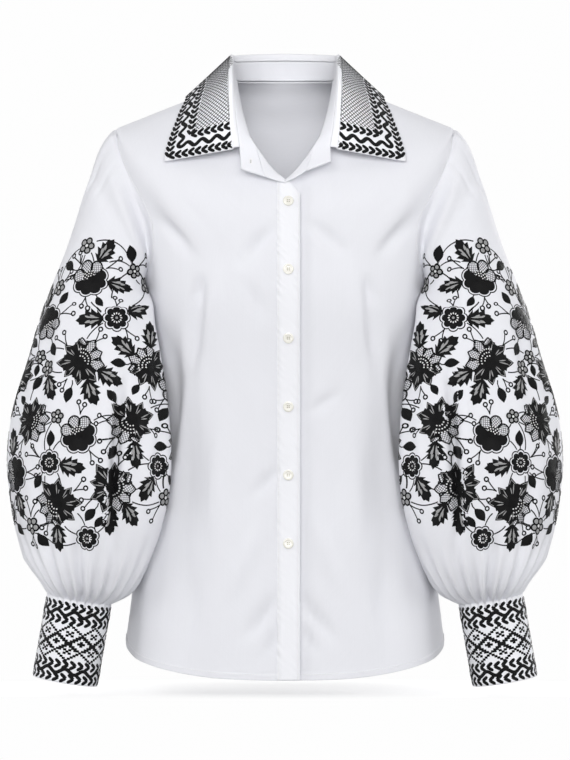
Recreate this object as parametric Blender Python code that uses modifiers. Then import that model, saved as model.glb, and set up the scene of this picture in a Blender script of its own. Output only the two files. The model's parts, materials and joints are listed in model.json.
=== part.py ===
"""A vyshyvanka shirt, worn shape without a wearer: a white cotton blouse with balloon sleeves.

Metres, +Z up, +X to the wearer's left, -Y to the front.  The origin is at the base of the neck,
on the line between the two points where the shoulders meet the neck.  Each piece that a maker
cuts and sews is one object.  Cloth is an open surface worked out from the tables below, given
its wall by Solidify, and pieces that are sewn together stay SEAM apart.
"""

import bpy
import numpy as np
from mathutils import Vector

OBJECT_NAME = "vyshyvanka_shirt"

WALL = 0.0015  # cloth wall
SEAM = 0.0003  # gap between sewn pieces
LAYER = WALL + SEAM  # one layer lying on another

# Torso rings, from the neck seam down to the hem.  Each ring passes through a front point, a side
# point and a back point.  "square" is the superellipse power of its plan, and "bow" says how
# quickly its height leaves the side's height towards the front or the back.
NECK, TIP, ARMPIT, HEM = 0, 2, 4, 8
TORSO_COLUMNS = (
    "ring", "width", "side_y", "side_z", "front_y", "front_z", "back_y", "back_z", "square", "bow"
)
TORSO = (
    (NECK, 0.052, 0.002, 0.0155, -0.100, -0.101, 0.058, 0.021, 2.0, 1.6),
    (1, 0.118, 0.000, -0.0110, -0.107, -0.118, 0.074, 0.000, 2.0, 1.5),
    (TIP, 0.183, -0.004, -0.0375, -0.113, -0.140, 0.090, -0.036, 2.0, 1.4),
    (3, 0.168, -0.002, -0.1150, -0.119, -0.178, 0.099, -0.115, 2.1, 1.2),
    (ARMPIT, 0.152, 0.000, -0.2100, -0.121, -0.225, 0.099, -0.205, 2.4, 1.0),
    (5, 0.1445, 0.000, -0.3000, -0.113, -0.305, 0.091, -0.300, 2.4, 1.0),
    (6, 0.1465, 0.000, -0.4000, -0.108, -0.405, 0.089, -0.400, 2.4, 1.0),
    (7, 0.1610, 0.000, -0.5050, -0.110, -0.520, 0.097, -0.520, 2.4, 0.8),
    (HEM, 0.1725, 0.000, -0.5975, -0.114, -0.6305, 0.104, -0.6305, 2.4, 1.1),
)

# How far the armhole is cut in from the side line, in degrees round the ring.
ARMHOLE_CUT_FRONT = 31.0
ARMHOLE_CUT_BACK = 27.0
ARMHOLE_ROUND = 0.62  # power of the cut's rise and fall
SIDE_SEAM_HALF_GAP = 0.09  # degrees, about half of SEAM on the torso

# Large soft folds of the body: the angle from the front, the rings where a fold starts and ends,
# its half width in degrees, its depth (inward is negative).
SHOULDER_FROM = 50  # degrees from the front or back at which the shoulder's straight line takes over
NECK_LIFT_COLUMNS = ("lift", "back", "last_angle", "last_ring")
NECK_LIFT = (0.0085, 0.0030, 44, 1.0)  # raises the neckline beside the V until it looks straight
BODY_FOLD_COLUMNS = ("angle", "first_ring", "last_ring", "half_width", "depth")
BODY_FOLDS = (
    (40, 4.1, 8.6, 11, -0.0035),
    (62, 5.0, 8.8, 12, 0.0030),
    (20, 5.2, 8.8, 10, 0.0022),
    (118, 5.0, 8.8, 12, 0.0030),
    (140, 4.4, 8.8, 12, -0.0035),
    (164, 5.2, 8.8, 10, 0.0025),
)

# Rings where the panels have their points, and how far round from the front's centre.
PANEL_RINGS = (0, 0.5, 1, 1.5, 2, 2.5, 3, 3.5, 4, 4.6, 5.3, 6, 6.8, 7.5, 8)
FRONT_REACH = (0, 0.1, 0.21, 0.32, 0.43, 0.54, 0.65, 0.76, 0.88, 1)

# Fronts: the right one laps over the left one.
PLACKET_FREE_X = 0.0158
PLACKET_SEAM_X = -0.0088
UNDERLAP = 0.0120
LAP_BLEND = 0.016  # width over which the left front sinks under the lap
LAP_EASE = 0.0011  # more room under the lap
PLACKET_EASE = 0.0003  # and under the placket
LAP_CORNER = 1.0  # ring where the lapped corner starts at the free edge

# Half collar, from the centre of the back to the wearer's left front: the place on the neck seam, the
# fold of the collar, and the leaf's outer edge as a place on the torso.
COLLAR_COLUMNS = ("place", "neck_angle", "fold_x", "fold_y", "fold_z", "edge_ring", "edge_angle")
COLLAR = (
    (0, 180, 0.0000, 0.0640, 0.0525, 0.85, 180),
    (1, 150, 0.0310, 0.0560, 0.0510, 0.95, 155),
    (2, 122, 0.0540, 0.0320, 0.0470, 0.95, 118),
    (3, 93, 0.0570, 0.0000, 0.0420, 0.82, 88),
    (4, 68, 0.0567, -0.0530, 0.0110, 1.02, 73),
    (5, 50, 0.0558, -0.0800, -0.0270, 1.34, 60),
    (6, 36, 0.0533, -0.0985, -0.0640, 1.67, 50),
)
STAND_LIFT = 0.0010  # more room below the stand's lower edge
STAND_SHARE = 0.76  # of the way from the neck seam to the fold
STAND_END_BASE = (0.0215, -0.1100, -0.0962)
STAND_END_TOP = (0.0467, -0.1100, -0.0886)
LEFT_END_BASE = (0.0215, -0.1100, -0.0905)  # the left end is set higher than the right one
LEFT_END_TOP = (0.0487, -0.1100, -0.0800)
LEAF_STAND_OFF = 0.0030  # of the leaf's outer edge from the cloth below it
FOLD_HALF_GAP = 0.0012  # room inside the collar's fold
COLLAR_PLACES = (0, 0.5, 1, 1.5, 2, 2.5, 3, 3.5, 4, 4.5, 5, 5.5, 6)
NECK_MIDDLE = (0, 0, 0)
FALL_INSIDE_Z = -0.060

# Sleeve sections below the armpit: height, centre, half sizes along and across, and how far the
# section is turned so that its inner end comes forward; then the depth of the gathers.
SLEEVE_COLUMNS = ("z", "centre_x", "centre_y", "half_long", "half_deep", "turn", "tilt", "gather")
SLEEVE = (
    (-0.235, 0.1965, -0.026, 0.0690, 0.0590, 20, 0.00, 0.0000),
    (-0.300, 0.2020, -0.034, 0.0830, 0.0660, 22, 0.00, 0.0004),
    (-0.360, 0.2075, -0.040, 0.0945, 0.0710, 22, 0.00, 0.0010),
    (-0.405, 0.2095, -0.044, 0.0965, 0.0720, 21, 0.00, 0.0018),
    (-0.450, 0.2095, -0.047, 0.0905, 0.0700, 20, 0.02, 0.0028),
    (-0.490, 0.2115, -0.049, 0.0775, 0.0640, 17, 0.05, 0.0038),
    (-0.520, 0.2145, -0.051, 0.0620, 0.0550, 12, 0.09, 0.0042),
    (-0.538, 0.2180, -0.052, 0.0470, 0.0440, 6, 0.14, 0.0034),
    (-0.5478, 0.2221, -0.053, 0.0342, 0.0319, 0, 0.172, 0.0006),
)
ARMPIT_Z = -0.2080
BODY_CLEARANCE = 0.0050  # between the sleeve and the body's side

# The sleeve's cap, lofted from the armhole to the first section.
CAP_OUTWARD = 0.050  # how strongly the cap leaves the armhole sideways
CAP_DOWNWARD = 0.020  # and downwards
CAP_SPAN = 0.20  # length of a line down the cap for which these are meant
CAP_SPREAD = (0, 0.55, 0.15)  # how much the lines fan out from the armhole's middle
CAP_SHARES = (0, 0.14, 0.32, 0.52, 0.74)
ARMHOLE_GAP = 0.0012
SLEEVE_POINTS = 44
SLEEVE_HEIGHTS = (-0.235, -0.290, -0.345, -0.400, -0.445, -0.485, -0.515, -0.535, -0.5478)
GATHERS = 12
SLEEVE_FOLD_ANGLE = 108.0  # the one deep fold, in degrees from the outer line
SLEEVE_FOLD_HALF_WIDTH = 13.0
SLEEVE_FOLD_DEPTH = 0.010
SLEEVE_FOLD_TOP_Z = -0.250
SLEEVE_FOLD_LOW_Z = -0.535

# Cuffs, straight tubes leaning outwards.
CUFF_TOP = (0.2223, -0.0530, -0.5486)
CUFF_BOTTOM = (0.2375, -0.0540, -0.6369)
CUFF_HALF_WIDTH = 0.0338
CUFF_HALF_DEPTH = 0.0315
CUFF_POINTS = 32

# Buttons.
BUTTON_RADIUS = 0.0057
BUTTON_THICK = 0.0024
BUTTON_HOLE_RADIUS = 0.00065
BUTTON_HOLE_SPREAD = 0.0013
BUTTON_X = 0.0035
TOP_BUTTON_Z = -0.1230
BUTTON_PITCH = 0.0725
BUTTON_COUNT = 6
BUTTON_SEAT_EASE = 0.0004

WHITE = (0.86, 0.86, 0.89)
EMBROIDERED = (0.30, 0.30, 0.31)
IVORY = (0.80, 0.77, 0.68)


def table_at(rows, place):
    """Smooth values between a table's rows, whose first column says where each row lies."""
    rows = np.array(rows, float)
    at = rows[:, 0]
    place = np.clip(np.asarray(place, float), at.min(), at.max())
    order = 1 if at[-1] > at[0] else -1
    slopes = np.gradient(rows, at, axis=0)
    i = np.clip(np.searchsorted(order * at, order * place, side="right") - 1, 0, len(at) - 2)
    span = at[i + 1] - at[i]
    u = ((place - at[i]) / span)[..., None]
    span = span[..., None]
    return (
        (2 * u**3 - 3 * u**2 + 1) * rows[i]
        + (u**3 - 2 * u**2 + u) * span * slopes[i]
        + (3 * u**2 - 2 * u**3) * rows[i + 1]
        + (u**3 - u**2) * span * slopes[i + 1]
    )


def smooth_step(low, high, value):
    share = np.clip((value - low) / (high - low), 0, 1)
    return share * share * (3 - 2 * share)


def bump(value, centre, half_width):
    """1 at the centre, falling smoothly to 0 at the half width."""
    return np.cos(np.clip((value - centre) / half_width, -1, 1) * np.pi / 2) ** 2


def torso(ring, angle):
    """Points of the torso.  Angle 0 is the front, 90 the wearer's left side, 180 the back."""
    ring, angle = np.broadcast_arrays(np.asarray(ring, float), np.asarray(angle, float))
    row = dict(zip(TORSO_COLUMNS, np.moveaxis(table_at(TORSO, ring), -1, 0)))
    turn = np.radians(angle)
    across = np.abs(np.sin(turn)) ** (2 / row["square"]) * np.sign(np.sin(turn))
    along = np.abs(np.cos(turn)) ** (2 / row["square"])
    front = np.cos(turn) > 0
    far_y = np.where(front, row["front_y"], row["back_y"])
    far_z = np.where(front, row["front_z"], row["back_z"])
    points = np.stack(
        [
            row["width"] * across,
            row["side_y"] + (far_y - row["side_y"]) * along,
            row["side_z"] + (far_z - row["side_z"]) * along ** row["bow"],
        ],
        axis=-1,
    )
    points = points + trued(ring, np.abs((angle + 180) % 360 - 180), row)
    away = points * (1, 1, 0)
    away /= np.linalg.norm(away, axis=-1, keepdims=True) + 1e-9
    return points + away * body_folds(ring, np.abs(angle))[..., None]


def trued(ring, angle, row):
    """Shifts that make the shoulder and the sides of the neckline's V run straight."""
    (neck, neck_z), (tip, tip_z) = [
        [TORSO[end][TORSO_COLUMNS.index(key)] for key in ("width", "side_z")] for end in (NECK, TIP)
    ]
    straight = neck_z + (tip_z - neck_z) * (row["width"] - neck) / (tip - neck)
    aside = smooth_step(SHOULDER_FROM, 90, np.minimum(angle, 180 - angle))
    shift = np.where(ring < TIP, (straight - row["side_z"]) * aside, 0)
    neck = dict(zip(NECK_LIFT_COLUMNS, NECK_LIFT))
    share = np.sin(np.pi * np.clip(angle / neck["last_angle"], 0, 1)) ** 0.8
    share *= 1 - smooth_step(0, neck["last_ring"], ring)
    return np.stack([np.zeros(ring.shape), neck["back"] * share, shift + neck["lift"] * share], axis=-1)


def body_folds(ring, angle):
    depth = np.zeros(ring.shape)
    for fold in BODY_FOLDS:
        fold = dict(zip(BODY_FOLD_COLUMNS, fold))
        middle = (fold["first_ring"] + fold["last_ring"]) / 2
        length = (fold["last_ring"] - fold["first_ring"]) / 2
        depth += fold["depth"] * bump(angle, fold["angle"], fold["half_width"]) * bump(ring, middle, length)
    return depth


def angle_at_x(ring, x):
    """Angle of the front point of a ring that lies at x."""
    row = dict(zip(TORSO_COLUMNS, np.moveaxis(table_at(TORSO, ring), -1, 0)))
    share = np.abs(x) / row["width"]
    return np.degrees(np.arcsin(share ** (row["square"] / 2))) * np.sign(x)


def armhole_angle(ring, cut):
    """How far round the ring the panel reaches: all the way except at the armhole."""
    share = np.clip((np.asarray(ring, float) - TIP) / (ARMPIT - TIP), 0, 1)
    return 90 - cut * (4 * share * (1 - share)) ** ARMHOLE_ROUND


def normals_of(grid, wrap=False):
    """Unit normals of a grid of points."""
    if wrap:
        padded = np.concatenate([grid[:, -1:], grid, grid[:, :1]], axis=1)
        across = (padded[:, 2:] - padded[:, :-2]) / 2
    else:
        across = np.gradient(grid, axis=1)
    down = np.gradient(grid, axis=0)
    normal = np.cross(down, across)
    return normal / (np.linalg.norm(normal, axis=-1, keepdims=True) + 1e-12)


def moved_out(grid, distance):
    """The grid moved along its normals, away from the shirt's middle."""
    normal = normals_of(grid)
    middle = grid.mean(axis=(0, 1)) * (0, 0, 1)
    outward = np.sign(np.sum(normal * (grid - middle)))
    return grid + outward * normal * distance


def material(name, colour, roughness):
    made = bpy.data.materials.get(name) or bpy.data.materials.new(name)
    made.use_nodes = True
    shader = made.node_tree.nodes["Principled BSDF"]
    shader.inputs["Base Color"].default_value = (*colour, 1)
    shader.inputs["Roughness"].default_value = roughness
    shader.inputs["Metallic"].default_value = 0
    return made


def add_object(name, mesh, finish):
    made = bpy.data.objects.new(name, mesh)
    made.data.materials.clear()
    made.data.materials.append(finish)
    bpy.data.collections[OBJECT_NAME].objects.link(made)
    return made


def cloth(name, grid, finish, wrap=False, inside=None, wall_side=1):
    """A cloth piece: the grid's surface and its wall, outside it (1) or inside it (-1)."""
    rows, columns = grid.shape[:2]
    mesh = bpy.data.meshes.new(name)
    faces = []
    for i in range(rows - 1):
        for j in range(columns if wrap else columns - 1):
            k = (j + 1) % columns
            faces.append((i * columns + j, i * columns + k, (i + 1) * columns + k, (i + 1) * columns + j))
    mesh.from_pydata(grid.reshape(-1, 3).tolist(), [], faces)
    if inside is None:
        inside = grid.mean(axis=(0, 1)) * (0, 0, 1)
    facing = sum(face.normal.dot(face.center - Vector(inside)) for face in mesh.polygons)
    if facing < 0:
        mesh.flip_normals()
    mesh.shade_smooth()
    made = add_object(name, mesh, finish)
    wall = made.modifiers.new("wall", "SOLIDIFY")
    wall.thickness = WALL
    wall.offset = wall_side
    wall.use_even_offset = False
    return made


def mirrored(grid):
    return grid * (-1, 1, 1)


def lapped_corner(x):
    """How many rings lower the lapped fronts start at x, because the corner hangs below the V."""
    return LAP_CORNER * np.clip(x / PLACKET_FREE_X, 0, 1)


def front_panel(past_centre, reach):
    """Rings and angles of a front, on the wearer's left: it laps past the centre to -past_centre."""
    ring = np.array(PANEL_RINGS, float)[:, None] + np.zeros(len(reach) + 2)
    lap_x = np.concatenate([[-past_centre, -past_centre / 2], np.zeros(len(reach))])
    ring = ring + lapped_corner(-lap_x) * (1 - smooth_step(0, 4, ring))
    end = armhole_angle(ring, ARMHOLE_CUT_FRONT) - SIDE_SEAM_HALF_GAP
    share = np.concatenate([[0, 0], reach])
    return ring, angle_at_x(ring, lap_x) + end * share


def make_fronts(finish):
    reach = np.array(FRONT_REACH, float)
    cloth("front_right", mirrored(torso(*front_panel(PLACKET_FREE_X - SEAM, reach))), finish)
    grid = torso(*front_panel(UNDERLAP, reach))
    lapped = 1 - smooth_step(PLACKET_FREE_X, PLACKET_FREE_X + LAP_BLEND, grid[..., 0:1])
    cloth("front_left", moved_out(grid, -(LAYER + LAP_EASE) * lapped), finish)


def make_placket(finish):
    ring = np.array(PANEL_RINGS, float)[:, None] + np.zeros(4)
    x = np.array((PLACKET_SEAM_X, 0, PLACKET_FREE_X / 2, PLACKET_FREE_X))
    ring = ring + lapped_corner(x) * (1 - smooth_step(0, 4, ring))
    cloth("placket", moved_out(torso(ring, angle_at_x(ring, x)), LAYER + PLACKET_EASE), finish)


def make_back(finish):
    share = np.linspace(-1, 1, 2 * len(FRONT_REACH) + 1)
    ring = np.array(PANEL_RINGS, float)[:, None] + np.zeros(len(share))
    half = 90 + ARMHOLE_CUT_BACK / ARMHOLE_CUT_FRONT * (armhole_angle(ring, ARMHOLE_CUT_FRONT) - 90)
    cloth("back", torso(ring, 180 + share * (half - SIDE_SEAM_HALF_GAP)), finish)


def collar_rows(places):
    """Neck seam, fold and leaf edge of the half collar on the wearer's left, at these places."""
    row = dict(zip(COLLAR_COLUMNS, np.moveaxis(table_at(COLLAR, places), -1, 0)))
    neck = torso(np.array((NECK, NECK + 0.4)), row["neck_angle"][:, None])
    neck = moved_out(neck, LAYER + STAND_LIFT)[:, 0]
    fold = np.stack([row["fold_x"], row["fold_y"], row["fold_z"]], axis=1)
    near = torso(
        row["edge_ring"][:, None] + np.array((-0.1, 0, 0.1)),
        row["edge_angle"][:, None],
    )
    edge = moved_out(near, LAYER + LEAF_STAND_OFF)[:, 1]
    return neck, fold, edge


def across_rows(first, last, shares):
    """Straight sections from the first line of points to the last."""
    return first[:, None] + (last - first)[:, None] * np.array(shares, float)[None, :, None]


def both_halves(grid):
    """A collar grid of the wearer's left half, joined to its mirror image at the back's centre."""
    return np.concatenate([mirrored(grid)[:0:-1], grid])


def make_stand(finish):
    neck, fold, _ = collar_rows(np.array(COLLAR_PLACES))
    top = neck + (fold - neck) * STAND_SHARE
    end_share = np.array((0.5, 1.0))[:, None]
    halves = []
    for base, corner in ((STAND_END_BASE, STAND_END_TOP), (LEFT_END_BASE, LEFT_END_TOP)):
        end_neck = neck[-1] + (np.array(base) - neck[-1]) * end_share
        end_top = top[-1] + (np.array(corner) - top[-1]) * end_share
        whole = np.concatenate([neck, end_neck]), np.concatenate([top, end_top])
        halves.append(across_rows(*whole, (0, 0.5, 1)))
    grid = np.concatenate([mirrored(halves[0])[:0:-1], halves[1]])
    cloth("collar_stand", grid, finish, inside=NECK_MIDDLE)


def make_fall(finish):
    neck, fold, edge = collar_rows(np.array(COLLAR_PLACES))
    rise = fold - neck
    rise /= np.linalg.norm(rise, axis=1, keepdims=True)
    out = np.cross(np.gradient(neck, axis=0), rise)
    out /= np.linalg.norm(out, axis=1, keepdims=True)
    out *= np.sign(np.sum(out * (edge - neck)))
    start = neck + (fold - neck) * STAND_SHARE + rise * 2 * SEAM + out * WALL
    turn = fold + out * WALL
    after = turn + out * 2 * FOLD_HALF_GAP - rise * FOLD_HALF_GAP
    leaf = across_rows(after, edge, (0, 0.2, 0.45, 0.72, 1))
    grid = np.concatenate([start[:, None], turn[:, None], leaf], axis=1)
    cloth("collar_fall", both_halves(grid), finish, inside=(0, 0, FALL_INSIDE_Z))


def ellipse(centre, long_half, deep_half, turn, angle):
    """Points of a level ellipse.  Angle 0 is its outer end and 90 its front."""
    u = np.array((np.cos(turn), np.sin(turn), 0))
    v = np.array((np.sin(turn), -np.cos(turn), 0))
    return centre + long_half * np.cos(angle)[:, None] * u + deep_half * np.sin(angle)[:, None] * v


def armhole_line(count):
    """Points spaced evenly round the armhole, from the shoulder's tip down the front."""
    ring = np.concatenate([np.linspace(TIP, ARMPIT, 60), np.linspace(ARMPIT, TIP, 60)[1:]])
    angle = np.concatenate(
        [
            armhole_angle(ring[:60], ARMHOLE_CUT_FRONT),
            180 - armhole_angle(ring[60:], ARMHOLE_CUT_BACK),
        ]
    )
    line = torso(ring, angle)
    length = np.concatenate([[0], np.cumsum(np.linalg.norm(np.diff(line, axis=0), axis=1))])
    even = np.linspace(0, length[-1], count, endpoint=False)
    return np.stack([np.interp(even, length, line[:, k]) for k in range(3)], axis=1)


def clear_of_body(points):
    """Moves points of the sleeve that lie inside the torso's side out to its surface."""
    rings = np.array(TORSO)[ARMPIT:]
    ring = np.interp(-points[:, 2], -rings[:, TORSO_COLUMNS.index("side_z")], rings[:, 0])
    row = dict(zip(TORSO_COLUMNS, np.moveaxis(table_at(TORSO, ring), -1, 0)))
    room = 2 * LAYER + BODY_CLEARANCE * smooth_step(ARMPIT_Z, ARMPIT_Z - 0.05, points[:, 2])
    across = np.abs(points[:, 0]) / (row["width"] + room)
    deep = np.where(points[:, 1] < 0, -row["front_y"], row["back_y"]) + room
    along = np.abs(points[:, 1]) / deep
    power = row["square"]
    level = (across**power + along**power) ** (1 / power)
    push = np.where(level < 1, 1 / np.maximum(level, 0.1), 1)[:, None]
    return points * np.where((points[:, 2] < ARMPIT_Z)[:, None], (push - 1) * (1, 1, 0) + 1, 1)


def sleeve_section(z, angle):
    """Points of the sleeve at height z, with its gathers and its deep fold."""
    row = dict(zip(SLEEVE_COLUMNS, table_at(SLEEVE, z)))
    centre = np.array((row["centre_x"], row["centre_y"], z))
    turn = np.radians(row["turn"])
    ring = ellipse(centre, row["half_long"], row["half_deep"], turn, angle)
    wave = np.cos(GATHERS * angle + 0.9 * np.sin(2 * angle)) * row["gather"]
    reach = smooth_step(SLEEVE_FOLD_TOP_Z, SLEEVE_FOLD_TOP_Z - 0.08, z)
    reach *= smooth_step(SLEEVE_FOLD_LOW_Z, SLEEVE_FOLD_LOW_Z + 0.05, z)
    fold = bump(np.degrees(angle), SLEEVE_FOLD_ANGLE, SLEEVE_FOLD_HALF_WIDTH) * SLEEVE_FOLD_DEPTH * reach
    away = ring - centre
    away /= np.linalg.norm(away, axis=1, keepdims=True)
    ring = ring + away * (wave - fold)[:, None]
    ring[:, 2] += row["tilt"] * (ring[:, 0] - row["centre_x"])
    return clear_of_body(ring)


def sleeve_grid():
    """The wearer's left sleeve, from the armhole to the cuff."""
    angle = np.linspace(0, 2 * np.pi, SLEEVE_POINTS, endpoint=False)
    armhole = armhole_line(SLEEVE_POINTS)
    under = smooth_step(-0.035, -0.130, armhole[:, 2])
    armhole[:, 0] += ARMHOLE_GAP + 2 * LAYER * under
    first = sleeve_section(SLEEVE[0][0], angle)
    below = sleeve_section(SLEEVE[0][0] - 0.01, angle)
    middle = armhole.mean(axis=0)
    leave = (armhole - middle) * CAP_SPREAD + (CAP_OUTWARD, 0, -CAP_DOWNWARD)
    arrive = (below - first) / 0.01
    span = np.linalg.norm(first - armhole, axis=1, keepdims=True)
    leave *= span / CAP_SPAN
    rows = []
    for u in CAP_SHARES:
        rows.append(
            (2 * u**3 - 3 * u**2 + 1) * armhole
            + (u**3 - 2 * u**2 + u) * leave
            + (3 * u**2 - 2 * u**3) * first
            + (u**3 - u**2) * arrive * span
        )
    rows = [clear_of_body(row) for row in rows]
    rows += [sleeve_section(z, angle) for z in SLEEVE_HEIGHTS]
    return np.array(rows)


def cuff_grid(shares):
    """The wearer's left cuff, a leaning oval tube."""
    angle = np.linspace(0, 2 * np.pi, CUFF_POINTS, endpoint=False)
    top, bottom = np.array(CUFF_TOP), np.array(CUFF_BOTTOM)
    axis = (bottom - top) / np.linalg.norm(bottom - top)
    side = np.cross((0, 1, 0), axis)
    side /= np.linalg.norm(side)
    front = np.cross(side, axis)
    ring = CUFF_HALF_WIDTH * np.cos(angle)[:, None] * side + CUFF_HALF_DEPTH * np.sin(angle)[:, None] * front
    return np.array([top + (bottom - top) * share + ring for share in shares])


def make_sleeves(finish, cuff_finish):
    sleeve, cuff = sleeve_grid(), cuff_grid((0, 0.5, 1))
    sides = (("left", sleeve, cuff), ("right", mirrored(sleeve), mirrored(cuff)))
    for side, sleeve_points, cuff_points in sides:
        inside = sleeve_points[len(CAP_SHARES) + 2].mean(axis=0)
        cloth("sleeve_" + side, sleeve_points, finish, wrap=True, inside=inside, wall_side=-1)
        cloth("cuff_" + side, cuff_points, cuff_finish, wrap=True, inside=cuff_points.mean(axis=(0, 1)))


def button_mesh():
    """A turned disc with a raised rim and four holes, its back at z = 0."""
    profile = (
        (0.0, 0.62 * BUTTON_THICK),
        (0.55 * BUTTON_RADIUS, 0.66 * BUTTON_THICK),
        (0.72 * BUTTON_RADIUS, BUTTON_THICK),
        (0.93 * BUTTON_RADIUS, 0.92 * BUTTON_THICK),
        (BUTTON_RADIUS, 0.55 * BUTTON_THICK),
        (0.85 * BUTTON_RADIUS, 0.0),
        (0.0, 0.0),
    )
    mesh = bpy.data.meshes.new("button")
    edges = [(i, i + 1) for i in range(len(profile) - 1)]
    mesh.from_pydata([(r, 0, z) for r, z in profile], edges, [])
    disc = bpy.data.objects.new("button_disc", mesh)
    bpy.context.scene.collection.objects.link(disc)
    screw = disc.modifiers.new("turn", "SCREW")
    screw.steps = screw.render_steps = 18
    screw.use_merge_vertices = True
    screw.merge_threshold = 0.00001
    drills = []
    for number in range(4):
        turn = np.pi / 4 + number * np.pi / 2
        bpy.ops.mesh.primitive_cylinder_add(
            vertices=6,
            radius=BUTTON_HOLE_RADIUS,
            depth=4 * BUTTON_THICK,
            location=(BUTTON_HOLE_SPREAD * np.cos(turn), BUTTON_HOLE_SPREAD * np.sin(turn), 0),
        )
        drill = bpy.context.object
        cut = disc.modifiers.new("hole", "BOOLEAN")
        cut.object = drill
        drills.append(drill)
    bpy.context.view_layer.update()
    turned = disc.evaluated_get(bpy.context.evaluated_depsgraph_get())
    result = bpy.data.meshes.new_from_object(turned)
    for helper in drills + [disc]:
        bpy.data.objects.remove(helper)
    return result


def make_buttons(finish):
    mesh = button_mesh()
    for number in range(BUTTON_COUNT):
        z = TOP_BUTTON_Z - number * BUTTON_PITCH
        seat = front_point(BUTTON_X, z, 2 * LAYER)
        above = front_point(BUTTON_X, z + BUTTON_RADIUS, 2 * LAYER)
        slope = np.arctan2(above[1] - seat[1], above[2] - seat[2])
        made = add_object("button_" + str(number + 1), mesh, finish)
        made.rotation_euler = (np.pi / 2 - slope, 0, 0)
        made.location = seat + np.array((0, -BUTTON_SEAT_EASE, 0))


def front_point(x, z, out):
    """The point of the front at x and z, moved out from the torso's surface."""
    rings = np.linspace(NECK, HEM, 400)
    line = torso(rings, angle_at_x(rings, x))
    near = np.stack([line, torso(rings, angle_at_x(rings, x + 0.002))], axis=1)
    line = moved_out(near, out)[:, 0]
    return np.array((x, np.interp(-z, -line[:, 2], line[:, 1]), z))


def main():
    for leftover in list(bpy.data.objects):
        bpy.data.objects.remove(leftover)
    collection = bpy.data.collections.new(OBJECT_NAME)
    bpy.context.scene.collection.children.link(collection)
    white = material("white_cotton", WHITE, 0.8)
    make_fronts(white)
    make_placket(white)
    make_back(white)
    embroidered = material("embroidered_cotton", EMBROIDERED, 0.7)
    make_stand(white)
    make_fall(embroidered)
    make_sleeves(white, embroidered)
    make_buttons(material("ivory_button", IVORY, 0.35))


main()
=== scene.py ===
"""Looks of the vyshyvanka shirt: fine cloth shells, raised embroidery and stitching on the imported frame.

Metres, +Z up, +X to the wearer's left, -Y to the front.  Cloth surfaces are grids of points worked
out from the same tables as the solids, with creases laid over them; embroidery and topstitching
are raised threads laid on those grids.
"""

import json

import bpy
import numpy as np
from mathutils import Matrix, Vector

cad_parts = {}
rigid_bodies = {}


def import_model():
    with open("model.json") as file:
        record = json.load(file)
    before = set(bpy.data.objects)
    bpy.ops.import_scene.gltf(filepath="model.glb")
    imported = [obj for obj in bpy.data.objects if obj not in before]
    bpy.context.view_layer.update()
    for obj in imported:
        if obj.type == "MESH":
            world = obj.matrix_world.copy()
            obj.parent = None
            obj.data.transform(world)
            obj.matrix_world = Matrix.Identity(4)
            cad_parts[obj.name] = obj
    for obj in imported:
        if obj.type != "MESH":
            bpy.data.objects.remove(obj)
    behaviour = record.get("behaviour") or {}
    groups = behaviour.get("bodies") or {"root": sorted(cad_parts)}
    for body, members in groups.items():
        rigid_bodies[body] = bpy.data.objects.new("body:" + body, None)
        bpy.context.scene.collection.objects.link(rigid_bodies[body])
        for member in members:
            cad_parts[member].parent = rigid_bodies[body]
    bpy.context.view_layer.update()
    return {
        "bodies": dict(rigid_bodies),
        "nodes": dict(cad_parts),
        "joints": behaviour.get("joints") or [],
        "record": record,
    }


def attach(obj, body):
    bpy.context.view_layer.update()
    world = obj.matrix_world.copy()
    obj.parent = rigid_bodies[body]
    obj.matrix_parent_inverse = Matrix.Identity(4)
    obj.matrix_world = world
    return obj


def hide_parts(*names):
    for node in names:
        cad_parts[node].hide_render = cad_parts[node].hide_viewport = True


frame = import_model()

# ------------------------------------------------------------------ sizes shared with the solids

WALL = 0.0015
SEAM = 0.0003
LAYER = WALL + SEAM

NECK, TIP, ARMPIT, HEM = 0, 2, 4, 8
TORSO_COLUMNS = (
    "ring", "width", "side_y", "side_z", "front_y", "front_z", "back_y", "back_z", "square", "bow"
)
TORSO = (
    (NECK, 0.052, 0.002, 0.0155, -0.100, -0.101, 0.058, 0.021, 2.0, 1.6),
    (1, 0.118, 0.000, -0.0110, -0.107, -0.118, 0.074, 0.000, 2.0, 1.5),
    (TIP, 0.183, -0.004, -0.0375, -0.113, -0.140, 0.090, -0.036, 2.0, 1.4),
    (3, 0.168, -0.002, -0.1150, -0.119, -0.178, 0.099, -0.115, 2.1, 1.2),
    (ARMPIT, 0.152, 0.000, -0.2100, -0.121, -0.225, 0.099, -0.205, 2.4, 1.0),
    (5, 0.1445, 0.000, -0.3000, -0.113, -0.305, 0.091, -0.300, 2.4, 1.0),
    (6, 0.1465, 0.000, -0.4000, -0.108, -0.405, 0.089, -0.400, 2.4, 1.0),
    (7, 0.1610, 0.000, -0.5050, -0.110, -0.520, 0.097, -0.520, 2.4, 0.8),
    (HEM, 0.1725, 0.000, -0.5975, -0.114, -0.6305, 0.104, -0.6305, 2.4, 1.1),
)
ARMHOLE_CUT_FRONT = 31.0
ARMHOLE_CUT_BACK = 27.0
ARMHOLE_ROUND = 0.62
SHOULDER_FROM = 50
NECK_LIFT_COLUMNS = ("lift", "back", "last_angle", "last_ring")
NECK_LIFT = (0.0085, 0.0030, 44, 1.0)
BODY_FOLD_COLUMNS = ("angle", "first_ring", "last_ring", "half_width", "depth")
BODY_FOLDS = (
    (40, 4.1, 8.6, 11, -0.0035),
    (62, 5.0, 8.8, 12, 0.0030),
    (20, 5.2, 8.8, 10, 0.0022),
    (118, 5.0, 8.8, 12, 0.0030),
    (140, 4.4, 8.8, 12, -0.0035),
    (164, 5.2, 8.8, 10, 0.0025),
)
PLACKET_FREE_X = 0.0158
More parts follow.
